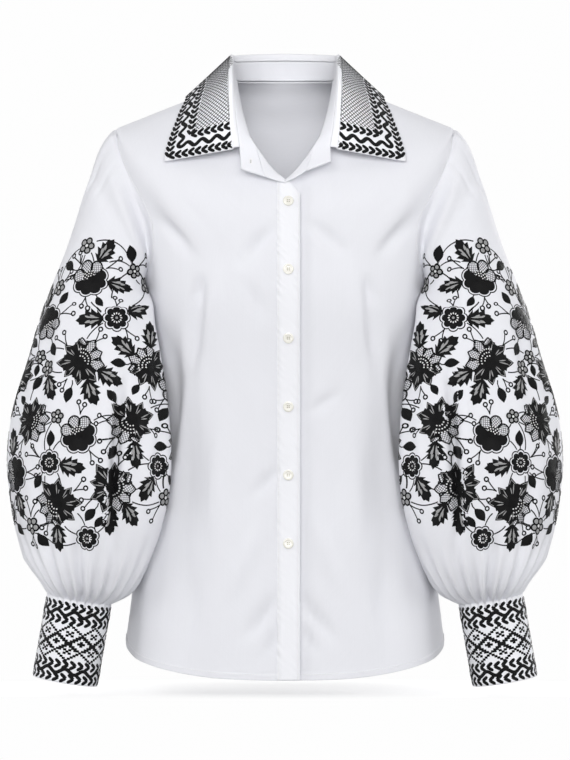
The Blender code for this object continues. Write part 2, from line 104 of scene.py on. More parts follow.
PLACKET_SEAM_X = -0.0088
UNDERLAP = 0.0120
LAP_BLEND = 0.016
LAP_EASE = 0.0011
PLACKET_EASE = 0.0003
LAP_CORNER = 1.0

COLLAR_COLUMNS = ("place", "neck_angle", "fold_x", "fold_y", "fold_z", "edge_ring", "edge_angle")
COLLAR = (
    (0, 180, 0.0000, 0.0640, 0.0525, 0.85, 180),
    (1, 150, 0.0310, 0.0560, 0.0510, 0.95, 155),
    (2, 122, 0.0540, 0.0320, 0.0470, 0.95, 118),
    (3, 93, 0.0570, 0.0000, 0.0420, 0.82, 88),
    (4, 68, 0.0567, -0.0530, 0.0110, 1.02, 73),
    (5, 50, 0.0558, -0.0800, -0.0270, 1.34, 60),
    (6, 36, 0.0533, -0.0985, -0.0640, 1.67, 50),
)
STAND_LIFT = 0.0010
STAND_SHARE = 0.76
STAND_END_BASE = (0.0215, -0.1100, -0.0962)
STAND_END_TOP = (0.0467, -0.1100, -0.0886)
LEFT_END_BASE = (0.0215, -0.1100, -0.0905)  # the left end is set higher than the right one
LEFT_END_TOP = (0.0487, -0.1100, -0.0800)
LEAF_STAND_OFF = 0.0030
FOLD_HALF_GAP = 0.0012

SLEEVE_COLUMNS = ("z", "centre_x", "centre_y", "half_long", "half_deep", "turn", "tilt")
SLEEVE = (
    (-0.235, 0.1965, -0.026, 0.0690, 0.0590, 20, 0.00),
    (-0.300, 0.2020, -0.034, 0.0830, 0.0660, 22, 0.00),
    (-0.360, 0.2075, -0.040, 0.0945, 0.0710, 22, 0.00),
    (-0.405, 0.2095, -0.044, 0.0965, 0.0720, 21, 0.00),
    (-0.450, 0.2095, -0.047, 0.0905, 0.0700, 20, 0.02),
    (-0.490, 0.2115, -0.049, 0.0775, 0.0640, 17, 0.05),
    (-0.520, 0.2145, -0.051, 0.0620, 0.0550, 12, 0.09),
    (-0.538, 0.2180, -0.052, 0.0470, 0.0440, 6, 0.14),
    (-0.5478, 0.2221, -0.053, 0.0342, 0.0319, 0, 0.172),
)
ARMPIT_Z = -0.2080
BODY_CLEARANCE = 0.0050
CAP_OUTWARD = 0.050
CAP_DOWNWARD = 0.020
CAP_SPAN = 0.20
CAP_SPREAD = (0, 0.55, 0.15)
CUFF_TOP = (0.2223, -0.0530, -0.5486)
CUFF_BOTTOM = (0.2375, -0.0540, -0.6369)
CUFF_HALF_WIDTH = 0.0338
CUFF_HALF_DEPTH = 0.0315

BUTTON_HOLE_RADIUS = 0.00065
BUTTON_HOLE_SPREAD = 0.0013
BUTTON_THREAD_HEIGHT = 0.00115

# ------------------------------------------------------------------ sizes of the fine surfaces

CLOTH = 0.0008  # cloth thickness as seen at the edges

# Creases: the middle, the way they run (degrees from upright, leaning to +X), half length, half
# width, depth (in is negative) and how far the middle of the line bows sideways.
CREASE_COLUMNS = ("x", "z", "lean", "half_length", "half_width", "depth", "bow")
FRONT_CREASES = (
    (-0.100, -0.268, 9, 0.078, 0.015, -0.0046, 0.002),
    (-0.092, -0.217, 8, 0.022, 0.009, -0.0030, 0.000),
    (-0.079, -0.242, 8, 0.060, 0.012, 0.0028, 0.000),
    (-0.120, -0.160, -42, 0.044, 0.012, -0.0030, 0.004),
    (-0.113, -0.138, -38, 0.060, 0.018, 0.0030, 0.000),
    (-0.130, -0.335, 4, 0.120, 0.020, -0.0080, 0.004),
    (-0.027, -0.170, 40, 0.037, 0.014, -0.0036, -0.003),
    (-0.033, -0.229, -24, 0.032, 0.011, -0.0026, 0.002),
    (-0.021, -0.421, 40, 0.032, 0.010, -0.0030, 0.000),
    (-0.029, -0.563, 32, 0.040, 0.011, -0.0036, 0.004),
    (-0.018, -0.590, 20, 0.030, 0.008, -0.0026, 0.002),
    (-0.045, -0.500, 22, 0.060, 0.014, 0.0024, 0.004),
    (-0.070, -0.430, 4, 0.110, 0.018, 0.0032, -0.003),
    (-0.105, -0.560, 6, 0.070, 0.016, -0.0030, 0.004),
    (0.099, -0.270, -9, 0.074, 0.016, -0.0042, -0.002),
    (0.091, -0.218, -10, 0.024, 0.010, -0.0030, 0.000),
    (0.078, -0.240, -8, 0.055, 0.013, 0.0026, 0.000),
    (0.121, -0.162, 42, 0.044, 0.013, -0.0028, -0.004),
    (0.114, -0.140, 37, 0.056, 0.018, 0.0028, 0.000),
    (0.131, -0.345, -4, 0.118, 0.020, -0.0080, -0.004),
    (0.045, -0.164, -49, 0.038, 0.013, -0.0034, 0.003),
    (0.040, -0.336, 55, 0.030, 0.010, -0.0026, 0.002),
    (0.037, -0.564, -36, 0.042, 0.011, -0.0036, -0.003),
    (0.029, -0.587, -26, 0.024, 0.008, -0.0026, -0.002),
    (0.048, -0.495, -20, 0.065, 0.014, 0.0024, -0.004),
    (0.072, -0.440, -4, 0.110, 0.018, 0.0032, 0.003),
    (0.108, -0.550, -7, 0.070, 0.017, -0.0028, -0.004),
)
BACK_CREASES = (
    (-0.100, -0.130, 30, 0.070, 0.014, -0.0035, -0.006),
    (0.100, -0.135, -32, 0.066, 0.014, -0.0035, 0.006),
    (-0.060, -0.260, 18, 0.110, 0.018, -0.0042, 0.005),
    (0.066, -0.270, -15, 0.105, 0.018, -0.0042, -0.006),
    (-0.012, -0.360, 3, 0.150, 0.020, 0.0036, 0.003),
    (0.034, -0.430, -6, 0.120, 0.016, -0.0032, -0.003),
    (-0.048, -0.470, 8, 0.120, 0.018, 0.0034, 0.004),
    (-0.092, -0.420, 7, 0.130, 0.020, -0.0040, 0.003),
    (0.096, -0.440, -8, 0.130, 0.020, 0.0038, -0.004),
    (0.012, -0.110, 80, 0.060, 0.012, -0.0014, 0.003),
)

# ------------------------------------------------------------------ shared geometry


def records(columns, rows):
    """A table's rows, each by its columns' names."""
    return [dict(zip(columns, row)) for row in rows]


def hermite(u, start, leave, end, arrive):
    """The smooth way from start to end that has these slopes at its two ends."""
    return (
        (2 * u**3 - 3 * u**2 + 1) * start
        + (u**3 - 2 * u**2 + u) * leave
        + (3 * u**2 - 2 * u**3) * end
        + (u**3 - u**2) * arrive
    )


def table_at(rows, place):
    """Smooth values between a table's rows, whose first column says where each row lies."""
    rows = np.array(rows, float)
    at = rows[:, 0]
    place = np.clip(np.asarray(place, float), at.min(), at.max())
    order = 1 if at[-1] > at[0] else -1
    slopes = np.gradient(rows, at, axis=0)
    i = np.clip(np.searchsorted(order * at, order * place, side="right") - 1, 0, len(at) - 2)
    span = at[i + 1] - at[i]
    u = ((place - at[i]) / span)[..., None]
    span = span[..., None]
    return hermite(u, rows[i], span * slopes[i], rows[i + 1], span * slopes[i + 1])


def row_at(columns, rows, place):
    """A table's smooth values at a place, by its columns' names."""
    return dict(zip(columns, np.moveaxis(table_at(rows, place), -1, 0)))


def smooth_step(low, high, value):
    share = np.clip((value - low) / (high - low), 0, 1)
    return share * share * (3 - 2 * share)


def bump(value, centre, half_width):
    """1 at the centre, falling smoothly to 0 at the half width."""
    return np.cos(np.clip((value - centre) / half_width, -1, 1) * np.pi / 2) ** 2


# How the wave's turn and height wander: by how much, at what share of its pace, and of its seed.
WANDER_TURNS = ((1.3, 0.31, 2.1), (0.8, 0.137, 1.0))
WANDER_HEIGHT = (0.35, 0.23, 1.7)


def uneven(place, pitch, seed):
    """A wave between about -1 and 1 whose length and height wander, for puckers."""
    turn = 2 * np.pi * np.asarray(place) / pitch + seed
    wander = sum(size * np.sin(pace * turn + start * seed) for size, pace, start in WANDER_TURNS)
    size, pace, start = WANDER_HEIGHT
    return np.sin(turn + wander) * (1 - size + size * np.sin(pace * turn + start * seed))


def unit(vectors):
    return vectors / (np.linalg.norm(vectors, axis=-1, keepdims=True) + 1e-12)


def torso(ring, angle):
    """Points of the torso.  Angle 0 is the front, 90 the wearer's left side, 180 the back."""
    ring, angle = np.broadcast_arrays(np.asarray(ring, float), np.asarray(angle, float))
    row = row_at(TORSO_COLUMNS, TORSO, ring)
    turn = np.radians(angle)
    across = np.abs(np.sin(turn)) ** (2 / row["square"]) * np.sign(np.sin(turn))
    along = np.abs(np.cos(turn)) ** (2 / row["square"])
    front = np.cos(turn) > 0
    far_y = np.where(front, row["front_y"], row["back_y"])
    far_z = np.where(front, row["front_z"], row["back_z"])
    points = np.stack(
        [
            row["width"] * across,
            row["side_y"] + (far_y - row["side_y"]) * along,
            row["side_z"] + (far_z - row["side_z"]) * along ** row["bow"],
        ],
        axis=-1,
    )
    points = points + trued(ring, np.abs((angle + 180) % 360 - 180), row)
    return points + unit(points * (1, 1, 0)) * body_folds(ring, np.abs(angle))[..., None]


def trued(ring, angle, row):
    """Shifts that make the shoulder and the sides of the neckline's V run straight."""
    (neck, neck_z), (tip, tip_z) = [
        [TORSO[end][TORSO_COLUMNS.index(key)] for key in ("width", "side_z")] for end in (NECK, TIP)
    ]
    straight = neck_z + (tip_z - neck_z) * (row["width"] - neck) / (tip - neck)
    aside = smooth_step(SHOULDER_FROM, 90, np.minimum(angle, 180 - angle))
    shift = np.where(ring < TIP, (straight - row["side_z"]) * aside, 0)
    neck = dict(zip(NECK_LIFT_COLUMNS, NECK_LIFT))
    share = np.sin(np.pi * np.clip(angle / neck["last_angle"], 0, 1)) ** 0.8
    share *= 1 - smooth_step(0, neck["last_ring"], ring)
    return np.stack([np.zeros(ring.shape), neck["back"] * share, shift + neck["lift"] * share], axis=-1)


def body_folds(ring, angle):
    depth = np.zeros(ring.shape)
    for fold in records(BODY_FOLD_COLUMNS, BODY_FOLDS):
        middle = (fold["first_ring"] + fold["last_ring"]) / 2
        length = (fold["last_ring"] - fold["first_ring"]) / 2
        depth += fold["depth"] * bump(angle, fold["angle"], fold["half_width"]) * bump(ring, middle, length)
    return depth


def angle_at_x(ring, x):
    """Angle of the front point of a ring that lies at x."""
    row = row_at(TORSO_COLUMNS, TORSO, ring)
    share = np.abs(x) / row["width"]
    return np.degrees(np.arcsin(share ** (row["square"] / 2))) * np.sign(x)


def armhole_angle(ring, cut):
    """How far round the ring the panel reaches: all the way except at the armhole."""
    share = np.clip((np.asarray(ring, float) - TIP) / (ARMPIT - TIP), 0, 1)
    return 90 - cut * (4 * share * (1 - share)) ** ARMHOLE_ROUND


def normals_of(grid, wrap=False):
    """Unit normals of a grid of points, whichever way its rows and columns give."""
    if wrap:
        padded = np.concatenate([grid[:, -1:], grid, grid[:, :1]], axis=1)
        across = (padded[:, 2:] - padded[:, :-2]) / 2
    else:
        across = np.gradient(grid, axis=1)
    return unit(np.cross(np.gradient(grid, axis=0), across))


def outward_normals(grid, wrap=False, inside=None):
    """Unit normals that point away from a point inside, or from the shirt's upright middle line."""
    normal = normals_of(grid, wrap)
    if inside is None:
        inside = grid.mean(axis=(0, 1)) * (0, 0, 1)
    return normal * np.sign(np.sum(normal * (grid - inside)))


def moved_out(grid, distance):
    return grid + outward_normals(grid) * distance


def creased(across, z, creases):
    """Depth of the creases at points given by their place across the cloth and their height."""
    depth = np.zeros(np.shape(z))
    for crease in records(CREASE_COLUMNS, creases):
        lean = np.radians(crease["lean"])
        off_x, off_z = across - crease["x"], z - crease["z"]
        along = off_x * np.sin(lean) + off_z * np.cos(lean)
        aside = off_x * np.cos(lean) - off_z * np.sin(lean)
        share = along / crease["half_length"]
        aside = aside - crease["bow"] * (1 - share**2)
        depth += crease["depth"] * bump(share, 0, 1) * bump(aside, 0, crease["half_width"])
    return depth


def lengths_along(grid, axis):
    """Distance of each point from the first one of its row (axis 1) or column (axis 0)."""
    steps = np.linalg.norm(np.diff(grid, axis=axis), axis=-1)
    start = np.zeros_like(np.take(steps, [0], axis=axis))
    return np.concatenate([start, np.cumsum(steps, axis=axis)], axis=axis)


def mirrored(grid):
    return grid * (-1, 1, 1)


def resampled(place, at, values):
    """Points at these places along a row of points, whose own places are given."""
    return np.stack([np.interp(place, at, column) for column in values.T], axis=-1)


def to_the_left(ahead):
    """Flat directions turned a quarter to the left."""
    return np.stack([-ahead[:, 1], ahead[:, 0]], axis=1)


# ------------------------------------------------------------------ materials

RIBS_A_METRE = 0.314  # the wave texture's scale that makes ribs one metre apart
WARP, WEFT, FLOSS_PITCH = 0.00042, 0.00052, 0.00045
WEAVE_DEPTH, FLOSS_DEPTH = 0.00005, 0.00012
DARKEST = 0.955  # share of the colour in the cotton's darkest slubs


class Nodes:
    """A short way to build a material's node tree."""

    def __init__(self, name):
        self.material = bpy.data.materials.new(name)
        self.material.use_nodes = True
        self.tree = self.material.node_tree
        self.shader = self.tree.nodes["Principled BSDF"]

    def add(self, kind, inputs=(), **settings):
        node = self.tree.nodes.new(kind)
        for key, value in settings.items():
            setattr(node, key, value)
        for key, value in dict(inputs).items():
            self.feed(node.inputs[key], value)
        return node

    def feed(self, socket, value):
        if isinstance(value, bpy.types.NodeSocket):
            self.tree.links.new(value, socket)
        else:
            socket.default_value = value

    def shade(self, values):
        for key, value in values.items():
            self.feed(self.shader.inputs[key], value)

    def scaled(self, value, factor):
        return self.maths("MULTIPLY", value, factor)

    def plus(self, first, second):
        return self.maths("ADD", first, second)

    def bumped(self, height, distance, strength=1.0):
        relief = {"Height": height, "Distance": distance, "Strength": strength}
        return self.add("ShaderNodeBump", relief).outputs[0]

    def ribs(self, source, pitch, axis, distortion, detail, detail_scale):
        """Ribs like threads laid side by side."""
        look = {"Distortion": distortion, "Detail": detail, "Detail Scale": detail_scale}
        wave = {"Vector": source, "Scale": RIBS_A_METRE / pitch, **look}
        return self.add("ShaderNodeTexWave", wave, bands_direction=axis).outputs["Fac"]

    def maths(self, operation, first, second):
        node = self.add("ShaderNodeMath", {0: first, 1: second}, operation=operation)
        return node.outputs[0]

    def mapped(self, source, scale):
        return self.add("ShaderNodeMapping", {"Vector": source, "Scale": scale}).outputs[0]

    def noise(self, source, scale, detail=2.0):
        made = self.add("ShaderNodeTexNoise", {"Vector": source, "Scale": scale, "Detail": detail})
        return made.outputs["Fac"]

    def ramp(self, factor, stops):
        node = self.add("ShaderNodeValToRGB", {"Fac": factor})
        for number, (place, colour) in enumerate(stops):
            if number > 1:
                node.color_ramp.elements.new(place)
            node.color_ramp.elements[number].position = place
            node.color_ramp.elements[number].color = (*colour, 1)
        return node.outputs["Color"]


def cotton(name, colour):
    """Poplin: a fine plain weave with slubs along the warp and the weft, matt with a slight sheen."""
    made = Nodes(name)
    place = made.add("ShaderNodeUVMap", uv_map="cloth").outputs[0]
    warp, weft = (made.ribs(place, pitch, axis, 0.6, 1.0, 0.4) for axis, pitch in (("X", WARP), ("Y", WEFT)))
    weave = made.scaled(warp, weft)
    slub, cross_slub = (made.noise(made.mapped(place, scale), 1.0) for scale in ((900, 14, 1), (20, 700, 1)))
    slubs = made.plus(slub, cross_slub)
    soft = made.noise(place, 18.0, 3.0)
    height = made.plus(made.plus(weave, made.scaled(slubs, 0.8)), made.scaled(soft, 4.0))
    tones = made.plus(made.scaled(slubs, 0.35), made.scaled(soft, 0.3))
    dark = tuple(channel * DARKEST for channel in colour)
    made.shade({
        "Base Color": made.ramp(tones, ((0.25, dark), (0.75, colour))),
        "Roughness": made.plus(made.scaled(weave, 0.14), 0.68),
        "Normal": made.bumped(height, WEAVE_DEPTH),
        "Sheen Weight": 0.12,
        "Sheen Roughness": 0.4,
        "Specular IOR Level": 0.25,
    })
    return made.material


def thread(name, colour, light, gloss):
    """Embroidery floss: close satin stitches with a soft gloss."""
    made = Nodes(name)
    place = made.add("ShaderNodeUVMap", uv_map="cloth").outputs[0]
    wave = made.ribs(place, FLOSS_PITCH, "X", 1.2, 2.0, 0.6)
    patchy = made.noise(place, 260.0, 3.0)
    # The colour is lighter on each stitch's rib, a painted sheen, mixed with random patches of tone in the
    # floss.
    tones = made.plus(made.scaled(wave, 0.45), made.scaled(patchy, 0.55))
    made.shade({
        "Base Color": made.ramp(tones, ((0.3, colour), (0.8, light))),
        "Roughness": made.plus(made.scaled(patchy, 0.2), 0.42),
        "Normal": made.bumped(wave, FLOSS_DEPTH, 0.9),
        "Sheen Weight": 0.04,
        "Specular IOR Level": gloss,
    })
    return made.material


def ivory(name, dark, light):
    """Polished button resin with faint clouding."""
    made = Nodes(name)
    place = made.add("ShaderNodeTexCoord").outputs["Object"]
    cloud = made.noise(place, 700.0, 3.0)
    made.shade({
        "Base Color": made.ramp(cloud, ((0.3, dark), (0.7, light))),
        "Roughness": made.plus(made.scaled(cloud, 0.12), 0.16),
        "Normal": made.bumped(made.noise(place, 1600.0), 0.00002),
        "Coat Weight": 0.3,
        "Coat Roughness": 0.12,
    })
    return made.material


WHITE = cotton("white_cotton_poplin", (0.803, 0.808, 0.850))
# A lighter copy of the white poplin for the placket, collar leaf and cuffs: partly the denser look of
# layered, interfaced cloth, partly painted light that brightens these pieces.
INTERFACED_AND_PAINTED_LIGHTER = cotton("interfaced_cotton_poplin_painted_lighter", (0.873, 0.878, 0.915))
BLACK = thread("black_embroidery_thread", (0.002, 0.002, 0.0025), (0.007, 0.007, 0.0075), 0.12)
GREY = thread("grey_embroidery_thread", (0.30, 0.30, 0.305), (0.45, 0.45, 0.455), 0.3)
FLOSS = thread("white_thread", (0.80, 0.80, 0.81), (0.90, 0.90, 0.91), 0.3)
TAN = thread("button_sewing_thread", (0.30, 0.275, 0.20), (0.44, 0.41, 0.31), 0.2)
IVORY = ivory("ivory_button_resin", (0.80, 0.78, 0.71), (0.87, 0.855, 0.80))

# ------------------------------------------------------------------ meshes


def grid_faces(rows, columns, wrap=False, first=0):
    """Corner numbers of the quads of a grid of points."""
    i, j = np.meshgrid(np.arange(rows - 1), np.arange(columns if wrap else columns - 1), indexing="ij")
    k = (j + 1) % columns
    quads = np.stack([i * columns + j, i * columns + k, (i + 1) * columns + k, (i + 1) * columns + j], -1)
    return quads.reshape(-1, 4) + first


def mesh_object(name, points, quads, place, finishes, finish_of=None):
    """An object from points, quads, each point's place on the cloth, and its materials."""
    mesh = bpy.data.meshes.new(name)
    mesh.from_pydata(points.tolist(), [], quads.tolist())
    corners = np.empty(len(mesh.loops), np.int32)
    mesh.loops.foreach_get("vertex_index", corners)
    mesh.uv_layers.new(name="cloth").data.foreach_set("uv", place[corners].astype(np.float32).ravel())
    for finish in finishes:
        mesh.materials.append(finish)
    if finish_of is not None:
        mesh.polygons.foreach_set("material_index", np.asarray(finish_of, np.int32))
    mesh.shade_smooth()
    made = bpy.data.objects.new(name, mesh)
    bpy.context.scene.collection.objects.link(made)
    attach(made, "root")
    return made


def cloth_piece(name, node, grids, wall=CLOTH, wrap=False, inside=None, finish=WHITE):
    """Joins grids of points on the outer face into one cloth piece, its wall inwards."""
    points, quads, places = [], [], []
    count = 0
    for grid in grids:
        rows, columns = grid.shape[:2]
        faces = grid_faces(rows, columns, wrap, count)
        centre = grid.mean(axis=(0, 1)) * (0, 0, 1) if inside is None else np.array(inside)
        if np.sum(normals_of(grid, wrap) * (grid - centre)) > 0:
            faces = faces[:, ::-1]
        place = np.stack([lengths_along(grid, 1), lengths_along(grid, 0)], axis=-1)
        points.append(grid.reshape(-1, 3))
        quads.append(faces)
        places.append(place.reshape(-1, 2))
        count += rows * columns
    made = mesh_object(name, np.concatenate(points), np.concatenate(quads), np.concatenate(places), [finish])
    solid = made.modifiers.new("wall", "SOLIDIFY")
    solid.thickness = wall
    solid.offset = -1
    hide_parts(node)


class Surface:
    """A piece's outer face as a grid of points, which threads are laid on."""

    def __init__(self, grid, wrap=False, inside=None):
        self.grid, self.wrap = grid, wrap
        self.normals = outward_normals(grid, wrap, inside)

    def at(self, cells):
        """Points and normals at (row, column) places between those of the grid."""
        rows, columns = self.grid.shape[:2]
        row = np.clip(cells[..., 0], 0, rows - 1.001)
        column = cells[..., 1] % columns if self.wrap else np.clip(cells[..., 1], 0, columns - 1.001)
        i, j = row.astype(int), column.astype(int)
        k = (j + 1) % columns
        u, v = (row - i)[..., None], (column - j)[..., None]

        def between(values):
            upper = values[i, j] * (1 - v) + values[i, k] * v
            lower = values[i + 1, j] * (1 - v) + values[i + 1, k] * v
            return upper * (1 - u) + lower * u

        return between(self.grid), unit(between(self.normals))

    def frame(self, cell, reach=3.0):
        """Rows and columns to a metre right and to a metre up, near a cell."""
        steps = np.array(((reach, 0), (0, reach)))
        down, across = (self.at(cell + steps)[0] - self.at(cell - steps)[0]) / (2 * reach)
        right = unit(across)
        up = -unit(down - right * (down @ right))
        return np.stack([right, up]) @ np.linalg.pinv(np.stack([down, across]))


# ------------------------------------------------------------------ body panels

PANEL_RINGS = np.concatenate([np.linspace(0, 7.9, 159)[:-1], np.linspace(7.9, 8, 15)])
PANEL_SHARES = np.concatenate([np.linspace(0, 0.94, 50)[:-1], np.linspace(0.94, 1, 11)])
FOLD_DEPTH = 1.5
HEM_BAND = 0.0062
HEM_STEP = 0.0007
ARMHOLE_BAND = 0.0065
ARMHOLE_STEP = 0.0005
ARMHOLE_HALF_RINGS = 1.25
LAPEL_LIFT = 0.0030
LAPEL_DROOP = 0.0008
LAPEL_BULGE = 0.0012
PLACKET_SEAM_DROP = 0.0013
PLACKET_STITCHED = 0.0022  # the two rows of stitches, in from the placket's edges
BODY_WAVES = ((0.083, 1.0), (0.21, 2.0))  # pitch and seed of the unevenness across and down the cloth
BODY_WAVE_DEPTH = 0.0005
# Height and pitch of the puckers, their seed, and the middle and half width of the strip they are in.
PUCKERS = {
    "hem": (0.00028, 0.0075, 3.0, HEM_BAND, 0.006),
    "armhole": (0.00035, 0.011, 5.0, ARMHOLE_BAND, 0.009),
    "placket_seam": (0.00055, 0.0098, 1.0, 0.002, 0.010),
    "placket_edge": (0.00025, 0.013, 4.0, 0.003, 0.009),
}


def lapped_corner(x):
    return LAP_CORNER * np.clip(x / PLACKET_FREE_X, 0, 1)


def front_panel(past_centre):
    """Rings and angles of a front on the wearer's left, which laps past the centre."""
    lap_x = np.concatenate([-past_centre * np.linspace(1, 0, 7)[:-1], np.zeros(len(PANEL_SHARES))])
    ring = PANEL_RINGS[:, None] + np.zeros(len(lap_x))
    ring = ring + lapped_corner(-lap_x) * (1 - smooth_step(0, 4, ring))
    share = np.concatenate([np.zeros(6), PANEL_SHARES])
    return ring, angle_at_x(ring, lap_x) + armhole_angle(ring, ARMHOLE_CUT_FRONT) * share


def body_relief(grid, creases):
    """The grid with its creases and a slight all-over unevenness."""
    x, z = grid[..., 0], grid[..., 2]
    depth = FOLD_DEPTH * creased(x, z, creases)
    across, down = (uneven(place, *wave) for place, wave in zip((x + 0.3 * z, z - 0.2 * x), BODY_WAVES))
    depth += BODY_WAVE_DEPTH * across * down
    return grid + unit(grid * (1, 1, 0)) * depth[..., None]


def puckered(seam, run, aside):
    """Puckers of a seam or hem at points this far along it and aside from it."""
    height, pitch, seed, middle, half_width = PUCKERS[seam]
    return height * uneven(run, pitch, seed) * bump(aside, middle, half_width)


def band(width, aside):
    """1 on a band this wide along an edge, with a soft step beside it."""
    return smooth_step(width + 0.0006, width - 0.0004, aside)


def edge_relief(grid, ring, seam_side):
    """The grid with its hem band and, along the armhole, the band of the topstitched seam."""
    down = lengths_along(grid[::-1], 0)[::-1]
    along = lengths_along(grid, 1)
    out = HEM_STEP * band(HEM_BAND, down) + puckered("hem", along + down, down)
    aside = along[:, -1:] - along if seam_side > 0 else along
    at_armhole = bump(ring[:, :1], (TIP + ARMPIT) / 2, ARMHOLE_HALF_RINGS) > 0
    ripple = puckered("armhole", lengths_along(grid, 0), aside)
    out += at_armhole * (ARMHOLE_STEP * band(ARMHOLE_BAND, aside) + ripple)
    return grid + outward_normals(grid) * out[..., None]


def front_grid(side):
    """The outer face of one front, and its rings: the wearer's right one laps over the left."""
    if side == "right":
        ring, angle = front_panel(PLACKET_FREE_X - SEAM)
        grid = body_relief(moved_out(mirrored(torso(ring, angle)), WALL), FRONT_CREASES)
    else:
        ring, angle = front_panel(UNDERLAP)
        grid = torso(ring, angle)
        lapped = 1 - smooth_step(PLACKET_FREE_X, PLACKET_FREE_X + LAP_BLEND, grid[..., 0:1])
        grid = body_relief(moved_out(grid, WALL), FRONT_CREASES)
        grid = grid - outward_normals(grid) * (LAYER + LAP_EASE) * lapped
    return edge_relief(grid, ring, 1), ring


def back_grid():
    """The outer face of the back, from the wearer's left edge to the right one, and its rings."""
    share = np.concatenate([-PANEL_SHARES[:0:-1], PANEL_SHARES])
    ring = PANEL_RINGS[:, None] + np.zeros(len(share))
    half = 90 + ARMHOLE_CUT_BACK / ARMHOLE_CUT_FRONT * (armhole_angle(ring, ARMHOLE_CUT_FRONT) - 90)
    grid = body_relief(moved_out(torso(ring, 180 + share * half), WALL), BACK_CREASES)
    middle = len(share) // 2
    right = edge_relief(grid[:, middle:], ring[:, middle:], 1)
    left = edge_relief(grid[:, : middle + 1], ring[:, : middle + 1], -1)
    return np.concatenate([left[:, :-1], right], axis=1), ring


def lapel_corner(side):
    """The front's corner above the top button, turned out along the neckline and under the stand's end."""
    share = np.linspace(0, 1, 25)
    fold = torso(np.array((NECK, NECK + 0.4)), COLLAR[-1][1] * (1 - share[:, None]))
    fold = moved_out(fold, LAYER + STAND_LIFT)[:, 0]
    start = np.array(LEFT_END_BASE if side == "left" else STAND_END_BASE)
    end = fold[-1] - (0, LAPEL_LIFT, LAPEL_LIFT)
    lower = start + (end - start) * share[:, None]
    lower[:, 2] -= LAPEL_DROOP * 4 * share * (1 - share)
    across = np.linspace(0, 1, 13)[:, None]
    grid = fold[:, None] + (lower - fold)[:, None] * across
    grid[..., 1] -= LAPEL_BULGE * 4 * (across * (1 - across))[:, 0]
    return grid if side == "left" else mirrored(grid)


def make_fronts():
    """Both fronts, and their outer faces."""
    faces = {}
    for side in ("right", "left"):
        faces[side] = front_grid(side)
        cloth_piece(f"front_{side}_cloth", f"front_{side}", [faces[side][0], lapel_corner(side)])
    return faces


def make_back():
    face = back_grid()
    cloth_piece("back_cloth", "back", [face[0]])
    return face


def make_placket():
    x = np.linspace(PLACKET_SEAM_X, PLACKET_FREE_X, 19)
    ring = np.linspace(0, HEM, 420)[:, None] + np.zeros(len(x))
    ring = ring + lapped_corner(x) * (1 - smooth_step(0, 4, ring))
    grid = moved_out(torso(ring, angle_at_x(ring, x)), LAYER + PLACKET_EASE)
    grid = body_relief(grid + outward_normals(grid) * WALL, FRONT_CREASES)
    run = lengths_along(grid, 0)
    from_seam = x - PLACKET_SEAM_X
    from_edge = PLACKET_FREE_X - x
    out = puckered("placket_seam", run, from_seam)
    out = out + puckered("placket_edge", run + 0.3 * from_seam, from_edge)
    for sunk, aside in ((0.00030, from_seam), (0.00022, from_edge)):
        out -= sunk * bump(aside, PLACKET_STITCHED, 0.0014)
    out -= PLACKET_SEAM_DROP * (1 - smooth_step(0, 0.005, from_seam))
    grid = grid + outward_normals(grid) * out[..., None]
    cloth_piece("placket_cloth", "placket", [grid], finish=INTERFACED_AND_PAINTED_LIGHTER)
    return grid


# ------------------------------------------------------------------ collar


def collar_rows(places):
    """Neck seam, fold and leaf edge of the half collar on the wearer's left, at these places."""
    row = row_at(COLLAR_COLUMNS, COLLAR, places)
    neck = torso(np.array((NECK, NECK + 0.4)), row["neck_angle"][:, None])
    neck = moved_out(neck, LAYER + STAND_LIFT)[:, 0]
    fold = np.stack([row["fold_x"], row["fold_y"], row["fold_z"]], axis=1)
    near = torso(row["edge_ring"][:, None] + np.array((-0.1, 0, 0.1)), row["edge_angle"][:, None])
    edge = moved_out(near, LAYER + LEAF_STAND_OFF)[:, 1]
    return neck, fold, edge


COLLAR_PLACES = np.linspace(0, 6, 73)
STAND_SHARES = np.linspace(0, 1, 13)
STAND_END_STEPS = 12
LEAF_STEPS = 30
ROLL_HEIGHT = 0.8  # of the roll's half width
LEAF_CLOTH = 0.0012
INSIDE_STAND = np.zeros(3)
INSIDE_LEAF = np.array((0, 0, -0.060))
BEHIND_END = np.array((-0.035, 0, -0.05))


def make_stand():
    """The stand, whose ends turn outwards below the collar; gives the face shown at its right end."""
    neck, fold, _ = collar_rows(COLLAR_PLACES)
    top = neck + (fold - neck) * STAND_SHARE
    end_share = np.linspace(0, 1, STAND_END_STEPS + 1)[1:, None]
    halves = []
    for base, corner in ((STAND_END_BASE, STAND_END_TOP), (LEFT_END_BASE, LEFT_END_TOP)):
        first = np.concatenate([neck, neck[-1] + (np.array(base) - neck[-1]) * end_share])
        last = np.concatenate([top, top[-1] + (np.array(corner) - top[-1]) * end_share])
        halves.append(first[:, None] + (last - first)[:, None] * STAND_SHARES[:, None])
    grid = np.concatenate([mirrored(halves[0])[:0:-1], halves[1]])
    face = grid + outward_normals(grid, inside=INSIDE_STAND) * WALL
    cloth_piece("collar_stand_cloth", "collar_stand", [face], WALL, inside=INSIDE_STAND)
    return Surface(grid[: STAND_END_STEPS + 1], inside=BEHIND_END)


